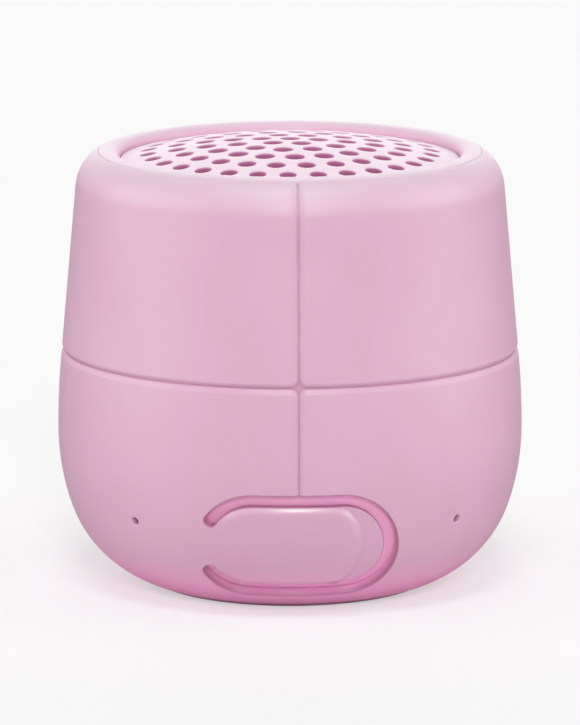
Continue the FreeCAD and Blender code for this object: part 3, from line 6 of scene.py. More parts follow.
import bmesh
import bpy
from mathutils import Matrix, Vector
from mathutils.geometry import delaunay_2d_cdt
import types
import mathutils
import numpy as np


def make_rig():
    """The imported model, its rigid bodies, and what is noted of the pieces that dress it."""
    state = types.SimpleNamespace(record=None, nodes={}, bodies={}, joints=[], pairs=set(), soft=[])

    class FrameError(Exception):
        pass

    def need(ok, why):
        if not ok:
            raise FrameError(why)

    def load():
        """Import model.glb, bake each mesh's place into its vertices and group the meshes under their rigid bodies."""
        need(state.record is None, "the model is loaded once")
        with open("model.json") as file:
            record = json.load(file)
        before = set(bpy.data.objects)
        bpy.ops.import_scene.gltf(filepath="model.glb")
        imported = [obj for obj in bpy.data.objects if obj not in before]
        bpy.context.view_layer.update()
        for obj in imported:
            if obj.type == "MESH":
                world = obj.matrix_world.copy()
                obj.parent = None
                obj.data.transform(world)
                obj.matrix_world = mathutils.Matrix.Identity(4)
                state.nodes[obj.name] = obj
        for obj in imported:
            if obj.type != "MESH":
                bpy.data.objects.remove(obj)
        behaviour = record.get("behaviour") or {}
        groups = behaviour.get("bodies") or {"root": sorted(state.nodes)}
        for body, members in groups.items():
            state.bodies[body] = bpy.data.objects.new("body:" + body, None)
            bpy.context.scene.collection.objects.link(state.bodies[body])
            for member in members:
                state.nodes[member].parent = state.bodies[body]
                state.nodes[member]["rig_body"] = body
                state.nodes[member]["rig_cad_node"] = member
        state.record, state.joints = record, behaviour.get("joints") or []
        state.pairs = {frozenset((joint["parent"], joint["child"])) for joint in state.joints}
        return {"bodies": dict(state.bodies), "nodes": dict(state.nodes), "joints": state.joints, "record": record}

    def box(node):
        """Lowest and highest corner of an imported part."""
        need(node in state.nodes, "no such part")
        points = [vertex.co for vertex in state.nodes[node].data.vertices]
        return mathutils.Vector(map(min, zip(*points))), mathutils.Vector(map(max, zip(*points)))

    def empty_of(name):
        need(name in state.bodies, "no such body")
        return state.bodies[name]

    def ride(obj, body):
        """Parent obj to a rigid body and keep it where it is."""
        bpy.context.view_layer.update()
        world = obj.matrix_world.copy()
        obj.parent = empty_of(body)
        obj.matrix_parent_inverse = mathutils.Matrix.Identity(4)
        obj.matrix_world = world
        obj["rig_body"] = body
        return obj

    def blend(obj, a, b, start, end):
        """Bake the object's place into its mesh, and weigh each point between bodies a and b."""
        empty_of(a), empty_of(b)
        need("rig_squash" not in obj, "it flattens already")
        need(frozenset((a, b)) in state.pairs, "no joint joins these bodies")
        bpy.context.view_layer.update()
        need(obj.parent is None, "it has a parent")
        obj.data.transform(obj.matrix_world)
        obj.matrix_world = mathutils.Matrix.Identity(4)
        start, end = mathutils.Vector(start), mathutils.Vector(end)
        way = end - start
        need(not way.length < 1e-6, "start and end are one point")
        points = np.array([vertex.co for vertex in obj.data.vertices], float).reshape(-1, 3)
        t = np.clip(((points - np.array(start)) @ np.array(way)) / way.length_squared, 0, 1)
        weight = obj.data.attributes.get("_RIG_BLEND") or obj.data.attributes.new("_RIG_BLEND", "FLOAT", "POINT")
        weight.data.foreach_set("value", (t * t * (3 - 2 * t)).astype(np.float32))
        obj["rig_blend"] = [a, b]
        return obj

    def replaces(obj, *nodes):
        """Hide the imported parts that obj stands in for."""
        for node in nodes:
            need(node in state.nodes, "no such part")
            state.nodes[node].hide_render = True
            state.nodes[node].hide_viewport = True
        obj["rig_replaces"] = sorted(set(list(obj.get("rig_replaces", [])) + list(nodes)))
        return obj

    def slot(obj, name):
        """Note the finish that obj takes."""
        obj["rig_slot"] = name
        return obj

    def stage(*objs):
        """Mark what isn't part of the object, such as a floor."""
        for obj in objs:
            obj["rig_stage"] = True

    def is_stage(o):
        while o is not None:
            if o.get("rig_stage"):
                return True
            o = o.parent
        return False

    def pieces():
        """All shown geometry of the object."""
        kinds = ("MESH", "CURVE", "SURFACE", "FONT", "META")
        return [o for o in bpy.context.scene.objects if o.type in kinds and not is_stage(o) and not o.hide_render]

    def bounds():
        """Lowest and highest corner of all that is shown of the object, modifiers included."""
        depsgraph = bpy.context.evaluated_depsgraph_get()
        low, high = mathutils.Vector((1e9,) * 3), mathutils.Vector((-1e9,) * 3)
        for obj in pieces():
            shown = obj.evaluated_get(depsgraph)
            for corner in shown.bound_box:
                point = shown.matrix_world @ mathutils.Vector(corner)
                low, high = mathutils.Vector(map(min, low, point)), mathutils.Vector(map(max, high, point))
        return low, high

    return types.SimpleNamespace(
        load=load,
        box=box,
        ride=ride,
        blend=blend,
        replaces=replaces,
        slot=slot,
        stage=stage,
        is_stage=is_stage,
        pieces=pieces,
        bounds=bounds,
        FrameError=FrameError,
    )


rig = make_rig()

bl_info = {
    "name": "Shower speaker",
    "version": (1, 0, 0),
    "blender": (4, 5, 0),
    "location": "View3D > Sidebar > Speaker",
    "description": "Dresses the shower speaker's frame with its skin, grille, materials and stage",
    "category": "Object",
}

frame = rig.load()
FRAME_BOX = [list(corner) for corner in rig.bounds()]
MM = 0.001
SKIN_LOW, SKIN_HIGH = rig.box("outer_skin")
BODY_RADIUS = SKIN_HIGH[0]
UNDERSIDE = SKIN_LOW[2]


# ---------------------------------------------------------------- sizes and colours

def length(label, text, value):
    """A size in metres, given in millimetres."""
    return bpy.props.FloatProperty(name=label, description=text, default=value * MM, min=0.0,
                                   precision=5, subtype="DISTANCE", unit="LENGTH")


def turn(label, text, value):
    """An angle, given in degrees."""
    return bpy.props.FloatProperty(name=label, description=text, default=math.radians(value),
                                   subtype="ANGLE", unit="ROTATION")


def colour(label, text, value):
    """A colour in linear light."""
    return bpy.props.FloatVectorProperty(name=label, description=text, default=value, size=3,
                                         min=0.0, max=1.0, subtype="COLOR")


class SkinSizes(bpy.types.PropertyGroup):
    heel_arc: length("Heel arc", "Radius of the bottom edge", 3.1)
    bowl_arc: length("Bowl arc", "Radius of the bowl above the bottom edge", 21.6)
    bowl_angle: turn("Bowl angle", "Where the bowl starts, below level", 67.6)
    side_arc: length("Side arc", "Radius of the side above the bowl", 42.5)
    side_angle: turn("Side angle", "Where the side starts, below level", 18.8)
    belly_arc: length("Belly arc", "Radius of the belly above the widest level", 140.0)
    draft: turn("Draft", "Lean of the straight upper wall", 5.1)
    shoulder_arc: length("Shoulder arc", "Radius of the top edge's outer part", 8.0)
    crest_arc: length("Crest arc", "Radius of the rim's crest", 4.6)
    crest_angle: turn("Crest angle", "Where the crest starts, above level", 50.0)
    crest_height: length("Crest height", "Height of the rim's crest", 77.8)
    parting_angle: turn("Parting angle", "Where the skin ends on the crest", 67.0)
    parting_gap: turn("Parting gap", "Open line between skin and rim", 1.3)
    wall: length("Wall", "Thickness of the skin", 1.6)
    foot_opening: length("Foot opening", "Radius of the opening round the foot pad", 25.0)
    groove_level: length("Groove level", "Height of the level groove", 42.2)
    groove_width: length("Groove width", "Width of the grooves", 0.44)
    groove_depth: length("Groove depth", "Depth of the grooves", 0.55)
    groove_lip: length("Groove lip", "Width of the soft edge along the grooves", 1.1)
    groove_fall: length("Groove fall", "How far that soft edge falls", 0.33)
    panel_corner: length("Panel corner", "Rounding of the four panels' corners", 1.3)
    pinhole_radius: length("Pinhole radius", "Radius of the two pinholes", 0.7)
    pinhole_level: length("Pinhole level", "Height of the two pinholes", 16.3)
    pinhole_azimuth: turn("Pinhole azimuth", "Turn of each pinhole from the front", 45.0)
    pinhole_lip: length("Pinhole lip", "Rounding of the pinholes' edges", 0.3)
    # the deeper tint that this reaches with is a painted shade
    gap_shade: length("Gap shade", "Reach of the deeper tint beside the slot's and pinholes' edges", 0.2)


class FlapSizes(bpy.types.PropertyGroup):
    level: length("Level", "Height of the flap's centre line", 13.3)
    left: length("Left", "Reach of the slot's straight run to the left", 8.0)
    right: length("Right", "Reach of the slot's straight run to the right", 7.6)
    arc: length("Arc", "Radius of the flap's ends", 7.8)
    slot_width: length("Slot width", "Width of the slot round the flap", 2.1)
    slot_end: turn("Slot end", "How far the slot's two ends stay from the hinge's middle", 34.0)
    slot_lip: length("Slot lip", "Rounding of the skin's edge round the slot", 0.3)
    lip: length("Lip", "Width of the flap's soft edge", 1.35)
    lip_fall: length("Lip fall", "How far the flap's soft edge falls", 0.62)
    thickness: length("Thickness", "Thickness of the flap", 1.35)
    step_depth: length("Step depth", "Depth of the finger step", 0.72)
    step_arc: length("Step arc", "Radius of the finger step's edge", 9.3)
    step_centre: length("Step centre", "Centre of the finger step's edge, to the right", 2.2)
    plug_width: length("Plug width", "Width of the plug on the flap's back", 11.2)
    plug_height: length("Plug height", "Height of the plug on the flap's back", 5.0)
    plug_taper: length("Plug taper", "How much the plug narrows to its tip, each side", 0.8)
    plug_edge: length("Plug edge", "Rounding of the plug's edges", 0.6)
    plug_space: length("Plug space", "Space between the plug's tip and the socket", 0.5)
    hinge_run: length("Hinge run", "Width of the web that bends", 2.2)
    hinge_fade: length("Hinge fade", "Run over which the soft edge fades out beside the hinge", 3.5)
    # the deeper tint that this reaches with is a painted shade
    gap_shade: length("Gap shade", "Reach of the deeper tint beside the flap's edge", 0.22)


class RimSizes(bpy.types.PropertyGroup):
    grille_gap: length("Grille gap", "Space between the rim's bore and the grille", 0.1)
    inner_arc: length("Inner arc", "Radius of the rim's fall to the grille", 2.3)
    shelf: length("Shelf", "Width of the shelf under the grille's edge", 1.9)
    bore_edge: length("Bore edge", "Drop from the fall's end to the bore", 0.25)
    corner_drop: length("Corner drop", "Height of the bevel at the parting line", 0.14)


class GrilleSizes(bpy.types.PropertyGroup):
    sphere: length("Dome radius", "Radius of the grille's dome", 131.0)
    wall: length("Wall", "Thickness of the grille", 1.2)
    border: length("Border", "Distance from the grille's edge to its outer ring of holes", 4.9)
    first_turn: turn("First turn", "Turn of each ring's first hole from the front", 21.0)
    hole: length("Hole", "Radius of the inner holes", 1.7)
    hole_fourth: length("Fourth ring's hole", "Radius of the holes in the fourth ring", 1.55)
    hole_outer: length("Outer hole", "Radius of the holes in the outer ring", 1.42)
    hole_lip: length("Hole lip", "Rounding of the holes' edges", 0.3)
    edge_lip: length("Edge lip", "Rounding of the grille's edge", 0.22)


class BaseSizes(bpy.types.PropertyGroup):
    foot_edge: length("Foot edge", "Rounding of the foot pad's lower edges", 0.5)
    foot_gap: length("Foot gap", "Space between foot pad and button", 0.6)
    tread_width: length("Tread width", "Width of the grooves in the foot pad's sole", 0.8)
    button_dish: length("Button dish", "Radius of the button's hollow face", 120.0)
    button_lip: length("Button lip", "Rounding of the button's rim", 0.45)
    button_wall: length("Button wall", "Thickness of the button's rim", 1.3)
    stem_radius: length("Stem radius", "Radius of the button's stem", 3.0)
    stem_groove: length("Stem groove", "Depth of the clip's groove in the stem", 0.6)


class StageSizes(bpy.types.PropertyGroup):
    floor_reach: length("Floor reach", "Half the floor's width", 6000.0)
    floor_gap: length("Floor gap", "How far the floor lies under the foot pad", 0.02)
    camera_distance: length("Camera distance", "Distance of the camera from the speaker's middle", 1100.0)
    camera_level: length("Camera level", "Height of the point that the camera looks at", 39.0)
    camera_turn: turn("Camera turn", "Turn of the camera from the front", -2.2)
    camera_tilt: turn("Camera tilt", "How far the camera looks down", 10.85)


class SpeakerColours(bpy.types.PropertyGroup):
    skin: colour("Skin", "Colour of the silicone skin", (0.69, 0.388, 0.541))
    skin_deep: colour("Skin, deep", "The skin's colour where it is a shade stronger",
                      (0.675, 0.368, 0.522))
    # painted shade: a darker tint that stands in for the shade deep inside the skin's grooves and gaps
    crease: colour("Crease", "The skin's colour deep inside its grooves and gaps", (0.38, 0.07, 0.21))
    # painted glow: a painted light, a brighter pink that stands for light bounced into and through the silicone
    glow: colour("Glow", "The skin's colour where light comes through it", (0.96, 0.37, 0.66))
    rim: colour("Rim", "Colour of the rigid rim", (0.76, 0.61, 0.70))
    # painted shade: the rim's darker tint beside the grille stands in for the shade on its fall to the grille
    rim_painted_shade: colour("Rim, deep", "The rim's colour beside the grille", (0.74, 0.44, 0.59))
    grille: colour("Grille", "Colour of the grille", (0.80, 0.63, 0.74))
    # painted shade: the darker tint in the grille's holes stands in for the shade on their walls
    hole: colour("Hole", "The grille's colour inside its holes", (0.50, 0.17, 0.34))
    mesh: colour("Mesh", "Colour of the mesh under the grille", (0.42, 0.13, 0.29))
    housing: colour("Housing", "Colour of the housing under the skin", (0.93, 0.43, 0.69))
    foot: colour("Foot", "Colour of the foot pad", (0.60, 0.29, 0.46))
    floor: colour("Floor", "Colour of the floor", (0.95, 0.95, 0.95))
    floor_bounce: colour("Floor bounce", "Colour that the floor gives back to the speaker",
                         (0.97, 0.95, 0.96))


# ---------------------------------------------------------------- the skin's form

HAIR = 1e-9            # lengths below this are rounding errors
MERGE = 1e-7           # points nearer than this are one
BELLY = 3              # the arc of the form that the straight wall follows
WALL_ROWS = 16         # rows of faces on the straight wall
TURNS = 180            # faces round the speaker


class Form:
    """The skin's outer form: arcs that run into each other, from the underside to the parting line."""

    def __init__(self, sizes):
        s = sizes
        heel_level = UNDERSIDE + s.heel_arc
        bowl_level = heel_level + (s.bowl_arc - s.heel_arc) * math.sin(s.bowl_angle)
        belly_level = bowl_level + (s.side_arc - s.bowl_arc) * math.sin(s.side_angle)
        side_axis = BODY_RADIUS - s.side_arc
        belly_axis = BODY_RADIUS - s.belly_arc
        bowl_axis = side_axis + (s.side_arc - s.bowl_arc) * math.cos(s.side_angle)
        heel_axis = bowl_axis + (s.bowl_arc - s.heel_arc) * math.cos(s.bowl_angle)
        self.crest_level = s.crest_height - s.crest_arc
        shoulder_level = self.crest_level + (s.crest_arc - s.shoulder_arc) * math.sin(s.crest_angle)
        shoulder_axis = (belly_axis + (s.belly_arc - s.shoulder_arc) / math.cos(s.draft)
                         + (belly_level - shoulder_level) * math.tan(s.draft))
        self.crest_axis = shoulder_axis + (s.shoulder_arc - s.crest_arc) * math.cos(s.crest_angle)
        # each arc: axis, level, radius, first angle, last angle, rows
        self.arcs = (
            (heel_axis, heel_level, s.heel_arc, -math.pi / 2, -s.bowl_angle, 5),
            (bowl_axis, bowl_level, s.bowl_arc, -s.bowl_angle, -s.side_angle, 28),
            (side_axis, belly_level, s.side_arc, -s.side_angle, 0.0, 18),
            (belly_axis, belly_level, s.belly_arc, 0.0, s.draft, 10),
            (shoulder_axis, shoulder_level, s.shoulder_arc, s.draft, s.crest_angle, 16),
            (self.crest_axis, self.crest_level, s.crest_arc, s.crest_angle, s.parting_angle, 6),
        )

    def radius(self, z):
        """Radius of the form at a height; between belly and shoulder the wall is straight."""
        for axis, level, arc, first, last, _ in self.arcs:
            if z < level + arc * math.sin(first) - HAIR:
                before = self.point(self.arcs[BELLY], 1)
                after = self.point(self.arcs[BELLY + 1], 0)
                return before[0] + (z - before[1]) / (after[1] - before[1]) * (after[0] - before[0])
            if z <= level + arc * math.sin(last) + HAIR:
                return axis + math.sqrt(max(arc ** 2 - (z - level) ** 2, 0.0))
        return self.point(self.arcs[-1], 1)[0]

    @staticmethod
    def point(arc, end):
        """First (0) or last (1) point of an arc, as radius and height."""
        angle = arc[3 + end]
        return arc[0] + arc[2] * math.cos(angle), arc[1] + arc[2] * math.sin(angle)


def run_to(bm, tip, x, z, steps=1):
    """Carries a profile on in a straight line."""
    start = tip.co.copy()
    for step in range(1, steps + 1):
        tip = bmesh.ops.extrude_vert_indiv(bm, verts=[tip])["verts"][0]
        tip.co = start.lerp(Vector((x, 0, z)), step / steps)
    return tip


def run_round(bm, tip, x, z, angle, steps):
    """Carries a profile on round a centre; a positive angle turns it upwards on the outside."""
    made = bmesh.ops.spin(bm, geom=[tip], cent=(x, 0, z), axis=(0, -1, 0), angle=angle, steps=steps,
                          use_duplicate=False)
    return next(part for part in made["geom_last"] if isinstance(part, bmesh.types.BMVert))


def lathe(bm, steps=TURNS):
    """Turns the profile in the mesh about the upright axis and closes its seam."""
    bmesh.ops.remove_doubles(bm, verts=bm.verts[:], dist=MERGE)
    bmesh.ops.spin(bm, geom=bm.verts[:] + bm.edges[:], cent=(0, 0, 0), axis=(0, 0, 1),
                   angle=math.tau, steps=steps, use_merge=True)
    bmesh.ops.remove_doubles(bm, verts=bm.verts[:], dist=MERGE)


def outline_form(bm, form, sizes):
    """The skin's outer profile, from the foot opening to the parting line."""
    tip = bm.verts.new((sizes.foot_opening, 0, UNDERSIDE))
    tip = run_to(bm, tip, *form.point(form.arcs[0], 0))
    for number, (axis, level, _, first, last, rows) in enumerate(form.arcs):
        tip = run_round(bm, tip, axis, level, last - first, rows)
        if number == BELLY:
            tip = run_to(bm, tip, *form.point(form.arcs[BELLY + 1], 0), steps=WALL_ROWS)


# ---------------------------------------------------------------- openings in a sheet

CDT_REACH = 1e-8       # how near two points may come before a filling merges them
INNER_PAINTED_GLOW = 0.6       # share of the painted glow, a painted light, on a wall's inner side
SHARP_ANGLE = math.radians(42)
HINGE_STEPS = 6        # points of the slot's loop round each of its ends, beside the hinge


def ring(centre, radius, first, last, steps):
    """Points on an arc, without the last one."""
    return [Vector((centre[0] + radius * math.cos(first + (last - first) * step / steps),
                    centre[1] + radius * math.sin(first + (last - first) * step / steps)))
            for step in range(steps)]


def stretch(first, last, steps):
    """Points on a line, without the last one."""
    return [Vector(first).lerp(Vector(last), step / steps) for step in range(steps)]


class Slot:
    """The C-shaped slot round the flap, seen from the front."""

    def __init__(self, sizes):
        self.sizes = sizes
        self.half = sizes.slot_width / 2
        self.path = sizes.arc + self.half
        self.left = Vector((-sizes.left, sizes.level))
        self.right = Vector((sizes.right, sizes.level))
        reach = Vector((-math.cos(sizes.slot_end), math.sin(sizes.slot_end))) * self.path
        self.upper_end = self.left + reach
        self.lower_end = self.left + Vector((reach.x, -reach.y))

    def distance(self, x, z):
        """Distance from the slot's edge, negative inside the slot."""
        point = Vector((x, z))
        if x < self.left.x and abs(math.atan2(z - self.left.y, self.left.x - x)) < self.sizes.slot_end:
            near = min((point - self.upper_end).length, (point - self.lower_end).length)
        else:
            middle = Vector((min(max(x, self.left.x), self.right.x), self.left.y))
            near = abs((point - middle).length - self.path)
        return near - self.half

    def in_flap(self, x, z):
        """Whether a point is on the flap's side of the slot."""
        middle = Vector((min(max(x, self.left.x), self.right.x), self.left.y))
        return x > self.upper_end.x and (Vector((x, z)) - middle).length < self.path

    def outer_run(self, away):
        """The skin's side of the loop at a distance outside the slot's edge, from end to end."""
        wide, reach = self.path + self.half + away, self.half + away
        quarter, end, drop = math.pi / 2, self.sizes.slot_end, Vector((0, wide))
        return (
            ring(self.upper_end, reach, -quarter, -math.pi - end, 12)
            + ring(self.left, wide, math.pi - end, quarter, 40)
            + stretch(self.left + drop, self.right + drop, 56)
            + ring(self.right, wide, quarter, -quarter, 110)
            + stretch(self.right - drop, self.left - drop, 56)
            + ring(self.left, wide, 3 * quarter, math.pi + end, 40)
            + ring(self.lower_end, reach, end - math.pi, -3 * quarter, 12)
        )

    def inner_run(self, away):
        """The flap's side of the same loop, from the hinge's lower end to its upper end."""
        narrow, reach = self.path - self.half - away, self.half + away
        quarter, end, drop = math.pi / 2, self.sizes.slot_end, Vector((0, narrow))
        return (
            ring(self.lower_end, reach, quarter, end, HINGE_STEPS)
            + ring(self.left, narrow, math.pi + end, 3 * quarter, 36)
            + stretch(self.left - drop, self.right - drop, 56)
            + ring(self.right, narrow, -quarter, quarter, 90)
            + stretch(self.right + drop, self.left + drop, 56)
            + ring(self.left, narrow, quarter, math.pi - end, 36)
            + ring(self.upper_end, reach, -end, -quarter, HINGE_STEPS)
        )


def rounding(distance, width, fall=None):
    """How far a rounded edge drops at a distance from it; its fall is its width unless given."""
    share = 1 - min(max(distance / width, 0.0), 1.0)
    return (fall or width) * (1 - math.sqrt(max(1 - share ** 2, 0.0)))


def softened(distance, width, fall, power=1.7):
    """How far a wide, even edge drops at a distance from it."""
    return fall * (1 - min(max(distance / width, 0.0), 1.0)) ** power


def add_run(points, ties, run, closed=False):
    """Adds a line or loop of points and the ties that hold it together."""
    first = len(points)
    points += run
    ties += [(first + step, first + step + 1) for step in range(len(run) - 1)]
    if closed:
        ties.append((first + len(run) - 1, first))


def fill_window(bm, seat, inside, loops, spare, keep_out, lines=()):
    """Puts loops of points and their holes into a patch of the sheet.

    seat gives a point's place on the form, inside tells which vertices are in the patch,
    keep_out tells which filling triangles are in a hole, spare which old points to drop."""
    patch = [face for face in bm.faces if all(inside(vert.co) for vert in face.verts)]
    chosen = set(patch)
    edges = dict.fromkeys(edge for face in patch for edge in face.edges)
    border = [edge for edge in edges if not all(face in chosen for face in edge.link_faces)]
    fixed = list(dict.fromkeys(vert for edge in border for vert in edge.verts))
    place = {vert: number for number, vert in enumerate(fixed)}
    points = [Vector((vert.co.x, vert.co.z)) for vert in fixed]
    ties = [(place[edge.verts[0]], place[edge.verts[1]]) for edge in border]
    inner = dict.fromkeys(vert for face in patch for vert in face.verts if vert not in place)
    points += [Vector((vert.co.x, vert.co.z)) for vert in inner if not spare(vert.co.x, vert.co.z)]
    for loop in loops:
        add_run(points, ties, loop, closed=True)
    for line in lines:
        add_run(points, ties, line)
    bmesh.ops.delete(bm, geom=patch, context="FACES")
    flat, _, faces, origins, _, _ = delaunay_2d_cdt(points, ties, [], 1, CDT_REACH)
    verts = []
    for point, origin in zip(flat, origins):
        known = [number for number in origin if number < len(fixed)]
        verts.append(fixed[known[0]] if known else bm.verts.new(seat(point.x, point.y)))
    for face in faces:
        middle = sum((flat[number] for number in face), Vector((0, 0))) / len(face)
        if not keep_out(middle.x, middle.y):
            bm.faces.new([verts[number] for number in face])
    bmesh.ops.delete(bm, geom=[vert for vert in bm.verts if not vert.link_faces], context="VERTS")


def thicken(bm, wall):
    """Gives an open sheet its thickness inwards; returns the layers that tell its sides apart."""
    bmesh.ops.recalc_face_normals(bm, faces=bm.faces[:])
    bm.normal_update()
    outward = bm.verts.layers.float_vector.new("outward")
    side = bm.verts.layers.int.new("outer_side")
    # the next two layers hold shares of painted shade and of painted glow, a painted light, for the materials
    crease = bm.verts.layers.float.new("crease")
    glow = bm.verts.layers.float.new("glow")
    for vert in bm.verts:
        vert[outward] = vert.normal
        vert[side] = 1
    made = bmesh.ops.extrude_face_region(bm, geom=bm.faces[:], use_keep_orig=True)["geom"]
    for vert in (part for part in made if isinstance(part, bmesh.types.BMVert)):
        vert[side] = 0
        vert[glow] = INNER_PAINTED_GLOW
        vert.co -= vert[outward] * wall
    return outward, side, crease, glow


def close_up(bm):
    """Points a closed piece's faces outwards and marks its corners."""
    bmesh.ops.recalc_face_normals(bm, faces=bm.faces[:])
    for face in bm.faces:
        face.smooth = True
    for edge in bm.edges:
        edge.smooth = len(edge.link_faces) != 2 or edge.calc_face_angle() < SHARP_ANGLE


def new_piece(label, bm, material, slot, *nodes, body="root"):
    """Makes the object of a finished mesh and hands it to the frame."""
    mesh = bpy.data.meshes.new(label)
    bm.to_mesh(mesh)
    bm.free()
    mesh.materials.append(material)
    piece = bpy.data.objects.new(label, mesh)
    bpy.context.scene.collection.objects.link(piece)
    if body:
        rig.ride(piece, body)
    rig.slot(piece, slot)
    if nodes:
        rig.replaces(piece, *nodes)
    return piece


# ---------------------------------------------------------------- skin and flap

# distances of fine rows of points: from the slot in slot lips, along the flap's edge and across its
# finger step in flap lips, and round a pinhole in pinhole lips
SLOT_ROWS = (0.0, 0.08, 0.25, 0.5, 0.8, 1.15, 1.7, 2.5)
FLAP_ROWS = (0.64, 0.76, 0.88, 1.0, 1.12)
STEP_ROWS = (-1.08, -0.9, -0.75, -0.6, -0.47, -0.35, -0.25, -0.16, -0.08, -0.02, 0.03, 0.12, 0.25)
PINHOLE_ROWS = (0.0, 0.1, 0.3, 0.6, 1.0, 1.8)
GROOVE_ROWS = 13       # fine rows across a groove's soft edge, each side
STEP_REACH = 1.1       # half the angle of the finger step's fine rows
WINDOW_REACH = math.radians(30)        # half the width of the flap's window
WINDOW_MARGIN = 1.6 * MM               # what the window reaches past the slot, up and down
PINHOLE_WINDOW = (3.4 * MM, 2.6 * MM)  # half the width and height of a pinhole's window
CLEAR = 0.2 * MM       # room round the fine rows that is cleared of coarse points
PARTING_LIP = 0.08 * MM                # rounding of the skin's edge at the parting line
STEP_WALL = 0.1 * MM   # width of the finger step's wall
LEAST_WALL = 0.15 * MM                 # what the flap keeps of its thickness everywhere
PLUG_SUNK = 0.2 * MM   # how far the plug's root lies inside the flap
CRISPNESS = 0.6        # how much narrower the level groove's upper edge is
CRISP_REACH = 3 * MM
LEVEL_SHADE = 0.33     # share of the painted shade in the level groove, the upright one and other gaps
UPRIGHT_SHADE = 0.13
SLOT_SHADE = 0.75
PINHOLE_SHADE = 0.7
FLAP_SHADE = 0.9


def fine_cuts(bm, sizes):
    """Cuts the form finely along the grooves, so that their edges can be rounded."""
    half, beside = sizes.groove_width / 2, sizes.panel_corner * 1.15
    steps = [half * 0.5, half * 0.8]
    steps += [half + beside * step / GROOVE_ROWS for step in range(GROOVE_ROWS + 1)]
    for offset in [0.0] + [sign * step for step in steps for sign in (-1, 1)]:
        cuts = [((0, 0, sizes.groove_level + offset), (0, 0, 1))]
        if offset:
            cuts.append(((offset, 0, 0), (1, 0, 0)))
        for place, direction in cuts:
            bmesh.ops.bisect_plane(bm, geom=bm.verts[:] + bm.edges[:] + bm.faces[:], dist=MERGE,
                                   plane_co=place, plane_no=direction)


def seat_on(form):
    """A function that puts a point seen from the front on the form."""
    def seat(x, z):
        return Vector((x, -math.sqrt(max(form.radius(z) ** 2 - x ** 2, 0.0)), z))
    return seat


def body_sheet(scene):
    """The skin's and the flap's outer surface, with the slot and the pinholes open."""
    sizes, flap = scene.speaker_skin, scene.speaker_flap
    form, slot = Form(sizes), Slot(flap)
    bm = bmesh.new()
    outline_form(bm, form, sizes)
    lathe(bm)
    fine_cuts(bm, sizes)
    for vert in bm.verts:
        if vert.co.z > UNDERSIDE + MM / 1000:
            vert.co.xy *= form.radius(vert.co.z) / vert.co.xy.length

    steps = [flap.slot_lip * part for part in SLOT_ROWS]
    loops = [slot.outer_run(step) + slot.inner_run(step) for step in steps]
    upper = [slot.upper_end - Vector((0, slot.half + step)) for step in steps]
    lower = [slot.lower_end + Vector((0, slot.half + step)) for step in steps]
    lines = [upper, lower, stretch(upper[-1], lower[-1], 14) + lower[-1:]]
    past_hinge = slice(HINGE_STEPS + 1, -HINGE_STEPS - 1)
    lines += [slot.inner_run(flap.lip * part)[past_hinge] for part in FLAP_ROWS]
    step_centre = (flap.step_centre, flap.level)
    for away in STEP_ROWS:
        arc = ring(step_centre, flap.step_arc + away * flap.lip, -STEP_REACH, STEP_REACH, 90)
        lines.append([point for point in arc if slot.in_flap(*point)
                      and slot.distance(*point) > max(steps[-1] * 1.1, -away * flap.lip)])

    def step_band(x, z):
        away = Vector((x - step_centre[0], z - step_centre[1])).length - flap.step_arc
        return slot.in_flap(x, z) and (x > 0 and -flap.lip * 1.3 < away < flap.lip * 0.4
                                       or slot.distance(x, z) < flap.lip * 1.25)

    margin = flap.arc + flap.slot_width + WINDOW_MARGIN

    def inside(co):
        return (co.y < 0 and abs(math.atan2(co.x, -co.y)) < WINDOW_REACH
                and abs(co.z - flap.level) < margin)

    def spare(x, z):
        return (slot.distance(x, z) < steps[-1] + CLEAR or step_band(x, z)
                or slot.in_flap(x, z) and abs(x - slot.upper_end.x) < 1.5 * CLEAR)

    fill_window(bm, seat_on(form), inside, loops, spare, lambda x, z: slot.distance(x, z) < 0, lines)
    level, radius, lip = sizes.pinhole_level, sizes.pinhole_radius, sizes.pinhole_lip
    rings = [ring((0.0, level), radius + lip * part, 0, math.tau, 28) for part in PINHOLE_ROWS]
    half_width, half_height = PINHOLE_WINDOW
    for azimuth in (-sizes.pinhole_azimuth, sizes.pinhole_azimuth):
        bmesh.ops.rotate(bm, verts=bm.verts[:], cent=(0, 0, 0),
                         matrix=Matrix.Rotation(-azimuth, 3, "Z"))
        fill_window(bm, seat_on(form),
                    lambda co: co.y < 0 and abs(co.x) < half_width and abs(co.z - level) < half_height,
                    rings, lambda x, z: math.hypot(x, z - level) < radius + lip * 2.3,
                    lambda x, z: math.hypot(x, z - level) < radius * 0.999)
        bmesh.ops.rotate(bm, verts=bm.verts[:], cent=(0, 0, 0),
                         matrix=Matrix.Rotation(azimuth, 3, "Z"))
    return bm, form, slot


def on_flap(slot, face):
    """Whether a face of the sheet belongs to the flap."""
    middle = face.calc_center_median()
    return middle.y < 0 and slot.in_flap(middle.x, middle.z)


def groove_drop(co, sizes, slot):
    """How deep the grooves are at a point; the level groove's upper edge is crisper than its lower one."""
    half, corner = sizes.groove_width / 2, sizes.panel_corner
    beside = corner
    if co.y > 0 or slot.distance(co.x, co.z) > 0 and co.z > slot.left.y:
        beside = abs(co.x) - half
    above = abs(co.z - sizes.groove_level) - half
    distance = corner - math.hypot(max(corner - beside, 0.0), max(corner - above, 0.0))
    lip = sizes.groove_lip
    if co.z > sizes.groove_level:
        lip *= 1 - CRISPNESS * min(max(1 - above / CRISP_REACH, 0.0), 1.0)
    drop = softened(distance, lip, sizes.groove_fall)
    if distance < 0:
        steep = min(-distance / (half * 0.5), 1.0)
        drop += (sizes.groove_depth - sizes.groove_fall) * steep
    return drop


def edge_shade(distance, reach):
    """Share of the painted shade at a distance from a gap's edge: full at the edge, none past its reach."""
    return min(max(1.3 - distance / reach, 0.0), 1.0)


